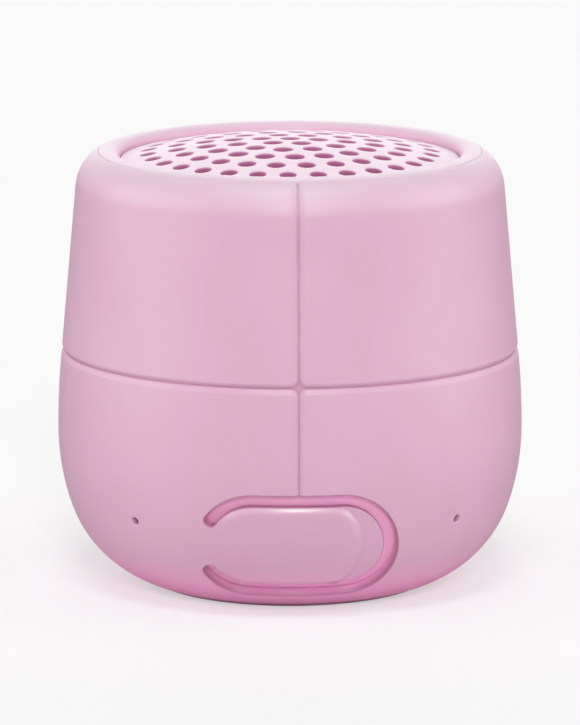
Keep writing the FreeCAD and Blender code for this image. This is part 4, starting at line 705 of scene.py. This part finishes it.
def pinhole_distance(co, sizes):
    """Distance from the nearer pinhole's edge."""
    azimuth = math.copysign(sizes.pinhole_azimuth, co.x)
    seen = Matrix.Rotation(-azimuth, 3, "Z") @ co
    if seen.y > 0:
        return 1.0
    return math.hypot(seen.x, seen.z - sizes.pinhole_level) - sizes.pinhole_radius


def build_skin(scene):
    """The silicone skin with its grooves, the flap's window and two pinholes."""
    sizes, flap = scene.speaker_skin, scene.speaker_flap
    bm, form, slot = body_sheet(scene)
    window = [face for face in bm.faces if on_flap(slot, face)]
    bmesh.ops.delete(bm, geom=window, context="FACES")
    outward, side, crease, glow = thicken(bm, sizes.wall)
    top = form.point(form.arcs[-1], 1)[1]
    below = sizes.groove_level * 0.6        # the slot and the pinholes lie under this height
    for vert in bm.verts:
        if not vert[side]:
            # a pinhole's inner wall takes painted shade and no painted glow
            if pinhole_distance(vert.co, sizes) < sizes.pinhole_lip:
                vert[crease], vert[glow] = PINHOLE_SHADE, 0.0
            continue
        groove = groove_drop(vert.co, sizes, slot)
        drop = max(groove, rounding(top - vert.co.z, PARTING_LIP))
        if vert.co.y < 0 and vert.co.z < below:
            drop = max(drop, rounding(slot.distance(vert.co.x, vert.co.z), flap.slot_lip))
            drop = max(drop, rounding(pinhole_distance(vert.co, sizes), sizes.pinhole_lip))
        level = abs(vert.co.z - sizes.groove_level) <= sizes.panel_corner
        # painted shade: a darker tint deep in the grooves and along the slot's edge
        deep = (groove - sizes.groove_fall) / (sizes.groove_depth - sizes.groove_fall)
        deep = min(max(deep, 0.0), 1.0) * (LEVEL_SHADE if level else UPRIGHT_SHADE)
        if vert.co.y < 0:
            edge = slot.distance(vert.co.x, vert.co.z)
            deep = max(deep, SLOT_SHADE * edge_shade(edge, sizes.gap_shade))
        vert[crease] = deep
        vert.co -= vert[outward] * drop
    close_up(bm)
    return bm


def build_flap(scene):
    """The port's flap: the skin's form inside the slot, with a finger step and a plug behind."""
    flap = scene.speaker_flap
    bm, form, slot = body_sheet(scene)
    bmesh.ops.delete(bm, geom=[face for face in bm.faces if not on_flap(slot, face)], context="FACES")
    outward, side, crease, _ = thicken(bm, flap.thickness)
    for vert in bm.verts:
        x, z = vert.co.x, vert.co.z
        edge = slot.distance(x, z)
        # painted shade along the flap's edge, beside the gap round it
        vert[crease] = FLAP_SHADE * edge_shade(edge, flap.gap_shade)
        if not vert[side]:
            continue
        away = math.hypot(x - flap.step_centre, z - flap.level) - flap.step_arc
        if x > flap.step_centre and away > 0:
            drop = flap.step_depth + rounding(edge, flap.slot_lip)
            drop = min(drop, flap.lip_fall + (drop - flap.lip_fall) * away / STEP_WALL)
        else:
            beside = -away if x > flap.step_centre else flap.lip
            near = flap.lip - math.hypot(max(flap.lip - beside, 0.0), max(flap.lip - edge, 0.0))
            full = softened(near, flap.lip, flap.lip_fall)
            thin = rounding(edge, flap.slot_lip)
            share = min(max((x - slot.upper_end.x) / flap.hinge_fade, 0.0), 1.0)
            share = share * share * (3 - 2 * share)
            drop = thin + (full - thin) * share
        vert.co -= vert[outward] * min(drop, flap.thickness - LEAST_WALL)
    close_up(bm)
    root = flap.thickness - form.radius(flap.level) - PLUG_SUNK
    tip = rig.box("usb_socket")[0][1] - flap.plug_space
    plug = bmesh.ops.create_cube(bm, size=1.0)["verts"]
    for vert in plug:
        outer = vert.co.y < 0
        shrink = 0.0 if outer else flap.plug_taper
        vert.co = (math.copysign(flap.plug_width / 2 - shrink, vert.co.x),
                   root if outer else tip,
                   flap.level + math.copysign(flap.plug_height / 2 - shrink, vert.co.z))
    edges = list(dict.fromkeys(edge for vert in plug for edge in vert.link_edges))
    bmesh.ops.bevel(bm, geom=edges, offset=flap.plug_edge, offset_type="OFFSET", segments=4,
                    profile=0.5, affect="EDGES", material=-1, clamp_overlap=True)
    return bm, slot


# ---------------------------------------------------------------- rim, grille and base

CORNER_TURN = 0.03     # turn of the crest that the bevel at the parting line takes
CORNER_IN = 0.04 * MM  # how far that bevel goes in
FALL_SHARE = 0.97      # share of the fall to the bore that is an arc
HOLE_ROWS = (0.0, 0.12, 0.35, 0.65, 1.0)        # fine rings round a hole, in its lips
EDGE_ROWS = (0.0, 0.1, 0.35, 0.7, 1.0)          # fine rings at the grille's edge, in its lips
BORDER_ROWS = (1.1 * MM, 2.0 * MM)              # rings between edge and holes
TREADS = (0.68, 0.32)  # where the sole's grooves lie between bore and edge


def build_rim(scene):
    """The rigid ring between skin and grille."""
    sizes, rim = scene.speaker_skin, scene.speaker_rim
    form = Form(sizes)
    (_, _, low), (outer, _, _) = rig.box("top_bezel")
    (_, _, seat), (grille_radius, _, _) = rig.box("grille")
    bore = grille_radius + rim.grille_gap
    shelf = bore - rim.shelf
    fall = math.asin((form.crest_axis - bore) / rim.inner_arc)

    def on_crest(radius, angle):
        return form.crest_axis + radius * math.cos(angle), form.crest_level + radius * math.sin(angle)

    start = sizes.parting_angle + sizes.parting_gap
    first = start + CORNER_TURN
    across, up = on_crest(sizes.crest_arc, start)
    _, back = on_crest(sizes.crest_arc - sizes.wall, sizes.parting_angle)
    bm = bmesh.new()
    base = bm.verts.new((outer, 0, low))
    tip = base
    for x, z in ((outer, back), (across, up - rim.corner_drop),
                 (across - CORNER_IN, up - CORNER_IN / 2), on_crest(sizes.crest_arc, first)):
        tip = run_to(bm, tip, x, z)
    tip = run_round(bm, tip, form.crest_axis, form.crest_level, math.pi / 2 - first, 8)
    tip = run_round(bm, tip, form.crest_axis, sizes.crest_height - rim.inner_arc,
                    fall * FALL_SHARE, 16)
    for x, z in ((bore, tip.co.z - rim.bore_edge), (bore, seat), (shelf, seat), (shelf, low)):
        tip = run_to(bm, tip, x, z)
    bm.edges.new((tip, base))
    lathe(bm)
    # painted shade: the rim darkens towards the grille, where its fall lies in shade
    crease = bm.verts.layers.float.new("crease")
    for vert in bm.verts:
        inwards = (form.crest_axis - vert.co.xy.length) / (form.crest_axis - bore)
        vert[crease] = min(max(inwards, 0.0), 1.0) ** 2
    close_up(bm)
    return bm


def build_grille(scene):
    """The domed grille with its rings of rounded holes."""
    sizes = scene.speaker_grille
    radius, _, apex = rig.box("grille")[1]
    ring_holes = (sizes.hole,) * 3 + (sizes.hole_fourth, sizes.hole_outer)
    pitch = (radius - sizes.border) / len(ring_holes)
    lip = sizes.hole_lip
    holes = [(Vector((0, 0)), sizes.hole)]
    for number, size in enumerate(ring_holes, 1):
        for step in range(6 * number):
            angle = sizes.first_turn - math.pi / 2 + math.tau * step / (6 * number)
            holes.append((Vector((math.cos(angle), math.sin(angle))) * pitch * number, size))
    loops = [ring(centre, size + lip * part, 0, math.tau, 24)
             for centre, size in holes for part in HOLE_ROWS]
    loops += [ring((0, 0), radius - sizes.edge_lip * part, 0, math.tau, TURNS) for part in EDGE_ROWS]
    loops += [ring((0, 0), radius - inset, 0, math.tau, TURNS) for inset in BORDER_ROWS]
    points, ties = [], []
    for loop in loops:
        add_run(points, ties, loop, closed=True)
    flat, _, faces, _, _, _ = delaunay_2d_cdt(points, ties, [], 1, CDT_REACH)
    bm = bmesh.new()
    verts = [bm.verts.new((point.x, point.y, apex - sizes.sphere
                           + math.sqrt(sizes.sphere ** 2 - point.length_squared))) for point in flat]
    for face in faces:
        middle = sum((flat[number] for number in face), Vector((0, 0))) / len(face)
        if all((middle - centre).length > size * 0.992 for centre, size in holes):
            bm.faces.new([verts[number] for number in face])
    bmesh.ops.delete(bm, geom=[vert for vert in bm.verts if not vert.link_faces], context="VERTS")
    near = bm.verts.layers.float.new("near")
    for vert in bm.verts:
        vert[near] = min((vert.co.xy - centre).length - size for centre, size in holes)
    _, side, crease, _ = thicken(bm, sizes.wall)
    # painted shade: the grille darkens round each hole, where its walls lie in shade
    for vert in bm.verts:
        vert[crease] = 1 - min(vert[near] / (lip * 0.6), 1.0)
        if vert[side]:
            vert.co.z -= max(rounding(vert[near], lip),
                             rounding(radius - vert.co.xy.length, sizes.edge_lip))
    close_up(bm)
    return bm


def build_foot(scene):
    """The rubber ring under the speaker, with soft edges and two fine grooves in its sole."""
    sizes = scene.speaker_base
    (_, _, sole), (outer, _, top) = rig.box("foot_pad")
    edge, groove = sizes.foot_edge, sizes.tread_width / 2
    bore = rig.box("power_button")[1][0] + sizes.foot_gap
    bm = bmesh.new()
    first = bm.verts.new((outer, 0, top))
    tip = run_to(bm, first, outer, sole + edge, 2)
    tip = run_round(bm, tip, outer - edge, sole + edge, -math.pi / 2, 8)
    for share in TREADS:
        middle = bore + (outer - bore) * share
        tip = run_to(bm, tip, middle + groove, sole, 3)
        tip = run_round(bm, tip, middle, sole, math.pi, 10)
    tip = run_to(bm, tip, bore + edge, sole, 3)
    tip = run_round(bm, tip, bore + edge, sole + edge, -math.pi / 2, 8)
    tip = run_to(bm, tip, bore, top, 2)
    bm.edges.new((tip, first))
    lathe(bm)
    close_up(bm)
    return bm


def build_button(scene):
    """The hollow-faced power button with its rounded rim and its stem."""
    sizes = scene.speaker_base
    (_, _, low), (radius, _, high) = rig.box("power_button")
    (_, _, clip_low), (_, _, clip_high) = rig.box("button_clip")
    stem, lip = sizes.stem_radius, sizes.button_lip
    neck = stem - sizes.stem_groove
    dish = low - math.sqrt(sizes.button_dish ** 2 - radius ** 2)
    bm = bmesh.new()
    tip = bm.verts.new((0, 0, dish + sizes.button_dish))
    tip = run_round(bm, tip, 0, dish, -math.asin((radius - lip) / sizes.button_dish), 16)
    tip = run_round(bm, tip, radius - lip, tip.co.z + lip, math.pi / 2, 8)
    back = low + sizes.button_wall
    for x, z in ((radius, back), (stem, back), (stem, clip_low), (neck, clip_low),
                 (neck, clip_high), (stem, clip_high), (stem, high), (0, high)):
        tip = run_to(bm, tip, x, z)
    lathe(bm, 120)
    close_up(bm)
    return bm


# ---------------------------------------------------------------- materials

CLOUD_SCALE = 55.0                     # soft clouds of tint, and patches of gloss, in a metre
GLOSS_SCALE = 180.0
PAINTED_GLOW_LEVELS = (2.0 * MM, 9.0 * MM)     # heights between which the painted glow above the foot, a painted bounce light, fades out
PAINTED_HIGHLIGHT_LEVELS = (71.5 * MM, 77.5 * MM)  # heights between which the painted highlight on the top edge fades in
# how much of the rim's tint the painted highlight gives the top edge
PAINTED_HIGHLIGHT_SHARE = 0.6


class Nodes:
    """The nodes of a material or world, added and joined by name."""

    def __init__(self, owner):
        owner.use_nodes = True
        self.tree = owner.node_tree

    def add(self, kind, **settings):
        """A new node; a setting's name is an attribute or an input."""
        node = self.tree.nodes.new(kind)
        for key, value in settings.items():
            name = key.replace("_", " ").title()
            if name in node.inputs:
                node.inputs[name].default_value = value
            else:
                setattr(node, key, value)
        return node

    def join(self, start, end):
        self.tree.links.new(start, end)

    def arithmetic(self, operation, first, second):
        """A number worked out from another and a second one or a constant."""
        node = self.add("ShaderNodeMath", operation=operation)
        self.join(first, node.inputs[0])
        if isinstance(second, float):
            node.inputs[1].default_value = second
        else:
            self.join(second, node.inputs[1])
        return node.outputs[0]

    def between(self, factor, low, high, start=0.3, end=0.7):
        """A number that runs between two limits as a pattern rises."""
        node = self.add("ShaderNodeMapRange", from_min=start, from_max=end, to_min=low, to_max=high)
        self.join(factor, node.inputs["Value"])
        return node.outputs["Result"]

    def seen_rays(self, mirrored):
        """One for rays that show the background: straight, refracted and a share of mirrored ones."""
        path = self.add("ShaderNodeLightPath")
        total = path.outputs["Is Camera Ray"]
        for name, share in (("Is Glossy Ray", mirrored), ("Is Transmission Ray", 1.0)):
            part = self.arithmetic("MULTIPLY", path.outputs[name], share)
            total = self.arithmetic("MAXIMUM", total, part)
        return total


class Finish(Nodes):
    """A material's shader and the patterns that feed it."""

    def __init__(self, label):
        self.material = bpy.data.materials.new(label)
        super().__init__(self.material)
        self.tree.nodes.clear()
        self.shader = self.add("ShaderNodeBsdfPrincipled")
        self.output = self.add("ShaderNodeOutputMaterial")
        self.join(self.shader.outputs[0], self.output.inputs[0])
        self.place = self.add("ShaderNodeTexCoord").outputs["Object"]

    def noise(self, scale, detail=4.0, roughness=0.55):
        node = self.add("ShaderNodeTexNoise", scale=scale, detail=detail, roughness=roughness)
        self.join(self.place, node.inputs["Vector"])
        return node.outputs["Fac"]

    def blend(self, factor, first, second, low=0.35, high=0.65):
        """A colour that runs between two tints as a pattern rises."""
        ramp = self.add("ShaderNodeValToRGB")
        ramp.color_ramp.elements[0].position = low
        ramp.color_ramp.elements[1].position = high
        ramp.color_ramp.elements[0].color = (*first, 1)
        ramp.color_ramp.elements[1].color = (*second, 1)
        self.join(factor, ramp.inputs["Fac"])
        return ramp.outputs["Color"]

    def attribute(self, label):
        """A value that the mesh carries."""
        return self.add("ShaderNodeAttribute", attribute_name=label).outputs["Fac"]

    def along(self, axis):
        """A point's place along an axis, in metres."""
        split = self.add("ShaderNodeSeparateXYZ")
        self.join(self.place, split.inputs[0])
        return split.outputs[axis]

    def mix(self, factor, first, second):
        """A colour mixed towards a constant one."""
        node = self.add("ShaderNodeMix", data_type="RGBA")
        self.join(factor, node.inputs[0])
        self.join(first, node.inputs[6])
        node.inputs[7].default_value = (*second, 1)
        return node.outputs[2]

    def bump(self, height, strength, distance):
        node = self.add("ShaderNodeBump", strength=strength, distance=distance)
        self.join(height, node.inputs["Height"])
        self.join(node.outputs["Normal"], self.shader.inputs["Normal"])

    def set(self, **settings):
        """Sets the shader's own sockets."""
        for key, value in settings.items():
            name = key.replace("_", " ").title().replace("Ior", "IOR")
            self.shader.inputs[name].default_value = value

    def emission(self, level):
        """A grey light of an even strength."""
        node = self.add("ShaderNodeEmission")
        node.inputs["Color"].default_value = (level, level, level, 1)
        return node.outputs[0]

    def mix_shaders(self, factor, first, second):
        node = self.add("ShaderNodeMixShader")
        for number, source in enumerate((factor, first, second)):
            self.join(source, node.inputs[number])
        return node.outputs[0]


def shade(tint, factor):
    """A tint made lighter or darker."""
    return tuple(min(part * factor, 1.0) for part in tint)


def moulded(label, first, second, rough=(0.5, 0.6), grain=2600.0, depth=0.02, bump=0.12, crease=None,
            glow=None, crest=None, **settings):
    """A moulded or soft material: two close tints, a fine grain and an uneven gloss.

    rough holds the gloss's two limits, grain the count of bumps in a metre, depth their height in
    millimetres and bump their strength. The last three are painted light and shade: a painted shade
    inside grooves, gaps and holes, a painted glow that stands for light bounced into and through the
    silicone on its walls and above the foot, and a paler painted highlight on the top edge."""
    nodes = Finish(label)
    tint = nodes.blend(nodes.noise(CLOUD_SCALE, 3.0), first, second)
    # painted glow: a painted light on the walls' inner sides, and fading out above the foot, for bounced light
    if glow:
        tint = nodes.mix(nodes.attribute("glow"), tint, glow)
        tint = nodes.mix(nodes.between(nodes.along("Z"), 1.0, 0.0, *PAINTED_GLOW_LEVELS), tint, glow)
    # painted highlight: a paler tint on the top edge, where the top light falls
    if crest:
        tint = nodes.mix(nodes.between(nodes.along("Z"), 0.0, PAINTED_HIGHLIGHT_SHARE, *PAINTED_HIGHLIGHT_LEVELS), tint, crest)
    # painted shade: a darker tint inside grooves, gaps and holes
    if crease:
        tint = nodes.mix(nodes.attribute("crease"), tint, crease)
    nodes.join(tint, nodes.shader.inputs["Base Color"])
    nodes.join(nodes.between(nodes.noise(GLOSS_SCALE), *rough), nodes.shader.inputs["Roughness"])
    nodes.bump(nodes.noise(grain, 2.0), bump, depth * MM)
    nodes.set(**settings)
    return nodes.material


def metal(label, tint, rough, grain=900.0):
    """A bare or plated metal with an uneven tint and gloss."""
    nodes = Finish(label)
    tint = nodes.blend(nodes.noise(140.0), shade(tint, 0.88), tint)
    nodes.join(tint, nodes.shader.inputs["Base Color"])
    nodes.join(nodes.between(nodes.noise(grain), *rough), nodes.shader.inputs["Roughness"])
    nodes.bump(nodes.noise(grain * 2, 2.0), 0.08, 0.01 * MM)
    nodes.set(metallic=1.0)
    return nodes.material


def woven(label, dark, light, count, rough=0.8):
    """A fine square weave; count is its threads' angle in a metre."""
    nodes = Finish(label)
    waves = [nodes.arithmetic("SINE", nodes.arithmetic("MULTIPLY", nodes.along(axis), count), 0.0)
             for axis in ("X", "Y")]
    cross = nodes.arithmetic("MULTIPLY", *waves)
    nodes.join(nodes.blend(cross, dark, light, 0.0, 0.8), nodes.shader.inputs["Base Color"])
    nodes.bump(cross, 0.4, 0.05 * MM)
    nodes.set(roughness=rough)
    return nodes.material


def make_finishes(colours):
    """One material for each of the record's slots."""
    skin, deep = tuple(colours.skin), tuple(colours.skin_deep)
    rim, grille = tuple(colours.rim), tuple(colours.grille)
    mesh, housing, foot = tuple(colours.mesh), tuple(colours.housing), tuple(colours.foot)
    black = (0.018, 0.018, 0.02)
    # the silicone's painted shade in grooves and gaps, painted glow for bounced light, and painted highlight in the
    # rim's tint on its top edge
    silicone = {"grain": 3000.0, "bump": 0.1, "crease": tuple(colours.crease), "glow": tuple(colours.glow),
                "crest": rim, "sheen_weight": 0.03, "sheen_roughness": 0.4, "specular_ior_level": 1.0,
                "specular_tint": (0.6, 1.0, 0.8, 1.0)}
    shell = {"grain": 3600.0, "bump": 0.08}
    smooth = {"grain": 1200.0, "bump": 0.1, "depth": 0.01}
    # slot: first tint, second tint, limits of roughness, other settings
    plastics = {
        "skin_silicone": (deep, skin, (0.42, 0.5), silicone),
        "flap_silicone": (deep, skin, (0.28, 0.35), silicone),
        # the rim takes a painted shade beside the grille
        "bezel_plastic": (shade(rim, 0.97), rim, (0.42, 0.5),
                          {**shell, "crease": tuple(colours.rim_painted_shade)}),
        # the grille takes a painted shade inside its holes
        "grille_plastic": (shade(grille, 0.97), grille, (0.4, 0.48),
                           {**shell, "crease": tuple(colours.hole)}),
        "housing_plastic": (shade(housing, 0.95), housing, (0.42, 0.55), {}),
        "foot_rubber": (shade(foot, 0.92), foot, (0.6, 0.75), {"grain": 1500.0, "depth": 0.04, "bump": 0.25}),
        "button_plastic": (shade(rim, 0.94), rim, (0.45, 0.55), {}),
        "seal_rubber": (black, shade(black, 1.8), (0.55, 0.7), {}),
        "board_laminate": ((0.01, 0.09, 0.045), (0.014, 0.12, 0.06), (0.3, 0.4), {}),
        "part_black": (black, shade(black, 2.0), (0.35, 0.5), {}),
        "lens_clear": ((0.85, 0.87, 0.9), (0.9, 0.92, 0.94), (0.12, 0.18),
                       {**smooth, "depth": 0.005, "bump": 0.05}),
        "cell_wrap": ((0.02, 0.1, 0.32), (0.025, 0.13, 0.38), (0.28, 0.36), smooth),
        "tray_plastic": ((0.10, 0.10, 0.11), (0.13, 0.13, 0.14), (0.45, 0.6), {}),
        "ferrite": ((0.035, 0.035, 0.04), (0.06, 0.06, 0.065), (0.6, 0.8),
                    {"grain": 1500.0, "depth": 0.05, "bump": 0.3}),
        "cone_paper": ((0.025, 0.025, 0.028), (0.045, 0.045, 0.05), (0.7, 0.85),
                       {"grain": 700.0, "depth": 0.08, "bump": 0.5}),
        "surround_rubber": (black, shade(black, 1.6), (0.5, 0.6), {}),
        "gasket_foam": ((0.04, 0.04, 0.04), (0.09, 0.09, 0.09), (0.85, 0.95),
                        {"grain": 1400.0, "depth": 0.2, "bump": 0.6}),
        "lead_wire": ((0.35, 0.02, 0.02), (0.42, 0.03, 0.03), (0.35, 0.45), {}),
    }
    # slot: tint, limits of roughness
    metals = {
        "steel": ((0.56, 0.56, 0.58), (0.28, 0.42)),
        "shell_steel": ((0.66, 0.66, 0.67), (0.2, 0.3)),
        "capacitor_can": ((0.62, 0.63, 0.65), (0.3, 0.38)),
        "basket_steel": ((0.30, 0.31, 0.33), (0.4, 0.55)),
        "plate_steel": ((0.5, 0.5, 0.48), (0.35, 0.5)),
        "winding_copper": ((0.72, 0.32, 0.16), (0.25, 0.4)),
    }
    # slot: dark tint, light tint, angle of the threads in a metre
    cloths = {
        "mesh_cloth": (shade(mesh, 0.7), mesh, 12000.0),
        "spider_cloth": ((0.35, 0.22, 0.06), (0.5, 0.34, 0.1), 9000.0),
    }
    made = {slot: moulded(slot, first, second, rough, **other)
            for slot, (first, second, rough, other) in plastics.items()}
    made.update({slot: metal(slot, *values) for slot, values in metals.items()})
    made.update({slot: woven(slot, *values) for slot, values in cloths.items()})
    return made


def node_slots():
    """The record's slot of each node."""
    return {part["node"]: part["material_slot"] for part in frame["record"]["subparts"]}


# ---------------------------------------------------------------- stage

WORLD_LIGHT, WORLD_SEEN = 0.36, 0.965  # strength of the studio as a light, and as a background
WORLD_MIRRORED = 0.6                   # share of that background that gloss shows
FLOOR_EVEN, FLOOR_EVEN_SHARE = 0.98, 0.48   # grey that evens out the floor's light, and its share
FLOOR_MIRRORED = 0.12                  # grey of the floor in gloss
# each lamp: height and turn in degrees, strength, spread in degrees
LAMPS = {
    "top_light": (66, -4, 0.77, 18),
    "front_light": (27, 1, 0.88, 12),
    "left_light": (8, -84, 1.48, 60),
    "right_light": (8, 84, 1.48, 60),
    "back_light": (22, 178, 0.7, 50),
}
LENS, SENSOR = 305.2, 36.0             # in millimetres


def make_world():
    """A plain pale studio: softer as a light than it looks."""
    world = bpy.data.worlds.new("studio")
    nodes = Nodes(world)
    back = nodes.tree.nodes["Background"]
    back.inputs["Color"].default_value = (1, 1, 1, 1)
    strength = nodes.between(nodes.seen_rays(WORLD_MIRRORED), WORLD_LIGHT, WORLD_SEEN, 0.0, 1.0)
    nodes.join(strength, back.inputs["Strength"])
    return world


def floor_paper(colours):
    """A matt pale paper that shows shadows softly and is open to the camera from below."""
    nodes = Finish("floor_paper")
    nodes.set(roughness=1.0, specular_ior_level=0.0)
    path = nodes.add("ShaderNodeLightPath")
    pale = nodes.add("ShaderNodeMix", data_type="RGBA")
    pale.inputs[6].default_value = (*colours.floor, 1)
    pale.inputs[7].default_value = (*colours.floor_bounce, 1)
    nodes.join(path.outputs["Is Diffuse Ray"], pale.inputs[0])
    nodes.join(pale.outputs[2], nodes.shader.inputs["Base Color"])
    even_share = nodes.arithmetic("MULTIPLY", nodes.seen_rays(0.0), FLOOR_EVEN_SHARE)
    lit = nodes.mix_shaders(even_share, nodes.shader.outputs[0], nodes.emission(FLOOR_EVEN))
    dimmed = nodes.mix_shaders(path.outputs["Is Glossy Ray"], lit, nodes.emission(FLOOR_MIRRORED))
    behind = nodes.add("ShaderNodeNewGeometry").outputs["Backfacing"]
    below = nodes.arithmetic("MULTIPLY", behind, path.outputs["Is Camera Ray"])
    clear = nodes.add("ShaderNodeBsdfTransparent").outputs[0]
    nodes.join(nodes.mix_shaders(below, dimmed, clear), nodes.output.inputs[0])
    return nodes.material


def make_floor(scene):
    """The floor under the foot pad."""
    sizes = scene.speaker_stage
    bm = bmesh.new()
    bmesh.ops.create_grid(bm, x_segments=1, y_segments=1, size=sizes.floor_reach)
    bmesh.ops.translate(bm, verts=bm.verts[:], vec=(0, 0, -sizes.floor_gap))
    mesh = bpy.data.meshes.new("floor")
    bm.to_mesh(mesh)
    bm.free()
    mesh.materials.append(floor_paper(scene.speaker_colours))
    floor = bpy.data.objects.new("floor", mesh)
    scene.collection.objects.link(floor)
    return floor


def direction(azimuth, elevation):
    """The direction from the speaker to a point at a turn from the front and a height, as angles."""
    flat = math.cos(elevation)
    return Vector((math.sin(azimuth) * flat, -math.cos(azimuth) * flat, math.sin(elevation)))


def make_lamps(scene):
    """Wide, soft lamps all round."""
    for label, (elevation, azimuth, strength, spread) in LAMPS.items():
        lamp = bpy.data.lights.new(label, "SUN")
        lamp.energy = strength
        lamp.angle = math.radians(spread)
        light = bpy.data.objects.new(label, lamp)
        toward = direction(math.radians(azimuth), math.radians(elevation))
        light.rotation_euler = toward.to_track_quat("Z", "Y").to_euler()
        scene.collection.objects.link(light)


def make_camera(scene):
    """A long lens, a little to the left and above."""
    sizes = scene.speaker_stage
    camera = bpy.data.objects.new("camera", bpy.data.cameras.new("camera"))
    camera.data.sensor_width = SENSOR
    camera.data.lens = LENS
    camera.data.dof.use_dof = False
    back = direction(sizes.camera_turn, sizes.camera_tilt)
    camera.location = Vector((0, 0, sizes.camera_level)) + back * sizes.camera_distance
    camera.rotation_euler = back.to_track_quat("Z", "Y").to_euler()
    scene.collection.objects.link(camera)
    return camera


# ---------------------------------------------------------------- operators

FINISHES = {}


def finish(scene, slot):
    """The material of a slot, made once."""
    if not FINISHES:
        FINISHES.update(make_finishes(scene.speaker_colours))
    return FINISHES[slot]


class SPEAKER_OT_skin(bpy.types.Operator):
    """Make the silicone skin"""
    bl_idname = "speaker.skin"
    bl_label = "Skin"

    def execute(self, context):
        bm = build_skin(context.scene)
        new_piece("silicone_skin", bm, finish(context.scene, "skin_silicone"), "skin_silicone",
                  "outer_skin")
        return {"FINISHED"}


class SPEAKER_OT_flap(bpy.types.Operator):
    """Make the port's flap, which bends at its hinge"""
    bl_idname = "speaker.flap"
    bl_label = "Port flap"

    def execute(self, context):
        scene = context.scene
        bm, slot = build_flap(scene)
        piece = new_piece("silicone_flap", bm, finish(scene, "flap_silicone"), "flap_silicone",
                          "port_flap", body=None)
        seat = seat_on(Form(scene.speaker_skin))
        edge, level = slot.upper_end.x, slot.left.y
        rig.blend(piece, "root", "flap", start=seat(edge, level),
                 end=seat(edge + scene.speaker_flap.hinge_run, level))
        return {"FINISHED"}


class SPEAKER_OT_rim(bpy.types.Operator):
    """Make the rigid rim round the grille"""
    bl_idname = "speaker.rim"
    bl_label = "Rim"

    def execute(self, context):
        new_piece("rim", build_rim(context.scene), finish(context.scene, "bezel_plastic"),
                  "bezel_plastic", "top_bezel")
        return {"FINISHED"}


class SPEAKER_OT_grille(bpy.types.Operator):
    """Make the domed grille"""
    bl_idname = "speaker.grille"
    bl_label = "Grille"

    def execute(self, context):
        new_piece("domed_grille", build_grille(context.scene), finish(context.scene, "grille_plastic"),
                  "grille_plastic", "grille")
        return {"FINISHED"}


class SPEAKER_OT_base(bpy.types.Operator):
    """Make the foot pad and the power button in the underside"""
    bl_idname = "speaker.base"
    bl_label = "Base"

    def execute(self, context):
        scene = context.scene
        new_piece("sole_ring", build_foot(scene), finish(scene, "foot_rubber"), "foot_rubber",
                  "foot_pad")
        new_piece("push_button", build_button(scene), finish(scene, "button_plastic"),
                  "button_plastic", "power_button", body="button")
        return {"FINISHED"}


class SPEAKER_OT_inner(bpy.types.Operator):
    """Give every part of the frame its material"""
    bl_idname = "speaker.inner"
    bl_label = "Inner parts"

    def execute(self, context):
        slots = node_slots()
        for name, node in frame["nodes"].items():
            node.data.materials.clear()
            node.data.materials.append(finish(context.scene, slots[name]))
        return {"FINISHED"}


class SPEAKER_OT_stage(bpy.types.Operator):
    """Make the floor, the light and the camera"""
    bl_idname = "speaker.stage"
    bl_label = "Stage"

    def execute(self, context):
        scene = context.scene
        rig.stage(make_floor(scene))
        scene.world = make_world()
        make_lamps(scene)
        scene.camera = make_camera(scene)
        scene.view_settings.view_transform = "Standard"
        return {"FINISHED"}


OPERATORS = (SPEAKER_OT_skin, SPEAKER_OT_flap, SPEAKER_OT_rim, SPEAKER_OT_grille, SPEAKER_OT_base,
             SPEAKER_OT_inner, SPEAKER_OT_stage)


class SPEAKER_PT_panel(bpy.types.Panel):
    """Lists the speaker's pieces and their sizes"""
    bl_idname = "SPEAKER_PT_panel"
    bl_label = "Shower speaker"
    bl_space_type = "VIEW_3D"
    bl_region_type = "UI"
    bl_category = "Speaker"

    def draw(self, context):
        layout = self.layout
        for operator in OPERATORS:
            layout.operator(operator.bl_idname)
        for name in GROUPS:
            box = layout.box()
            group = getattr(context.scene, name)
            for key in group.__annotations__:
                box.prop(group, key)


GROUPS = {
    "speaker_skin": SkinSizes,
    "speaker_flap": FlapSizes,
    "speaker_rim": RimSizes,
    "speaker_grille": GrilleSizes,
    "speaker_base": BaseSizes,
    "speaker_stage": StageSizes,
    "speaker_colours": SpeakerColours,
}


def register():
    for name, group in GROUPS.items():
        bpy.utils.register_class(group)
        setattr(bpy.types.Scene, name, bpy.props.PointerProperty(type=group))
    for item in OPERATORS + (SPEAKER_PT_panel,):
        bpy.utils.register_class(item)


def unregister():
    for item in reversed(OPERATORS + (SPEAKER_PT_panel,)):
        bpy.utils.unregister_class(item)
    for name, group in GROUPS.items():
        delattr(bpy.types.Scene, name)
        bpy.utils.unregister_class(group)


def main():
    register()
    for operator in OPERATORS:
        group, name = operator.bl_idname.split(".")
        getattr(getattr(bpy.ops, group), name)()
    sizes = {"frame": FRAME_BOX, "visual": [list(corner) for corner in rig.bounds()]}
    with open("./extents.json", "w") as target:
        json.dump(sizes, target)


if __name__ == "__main__":
    main()
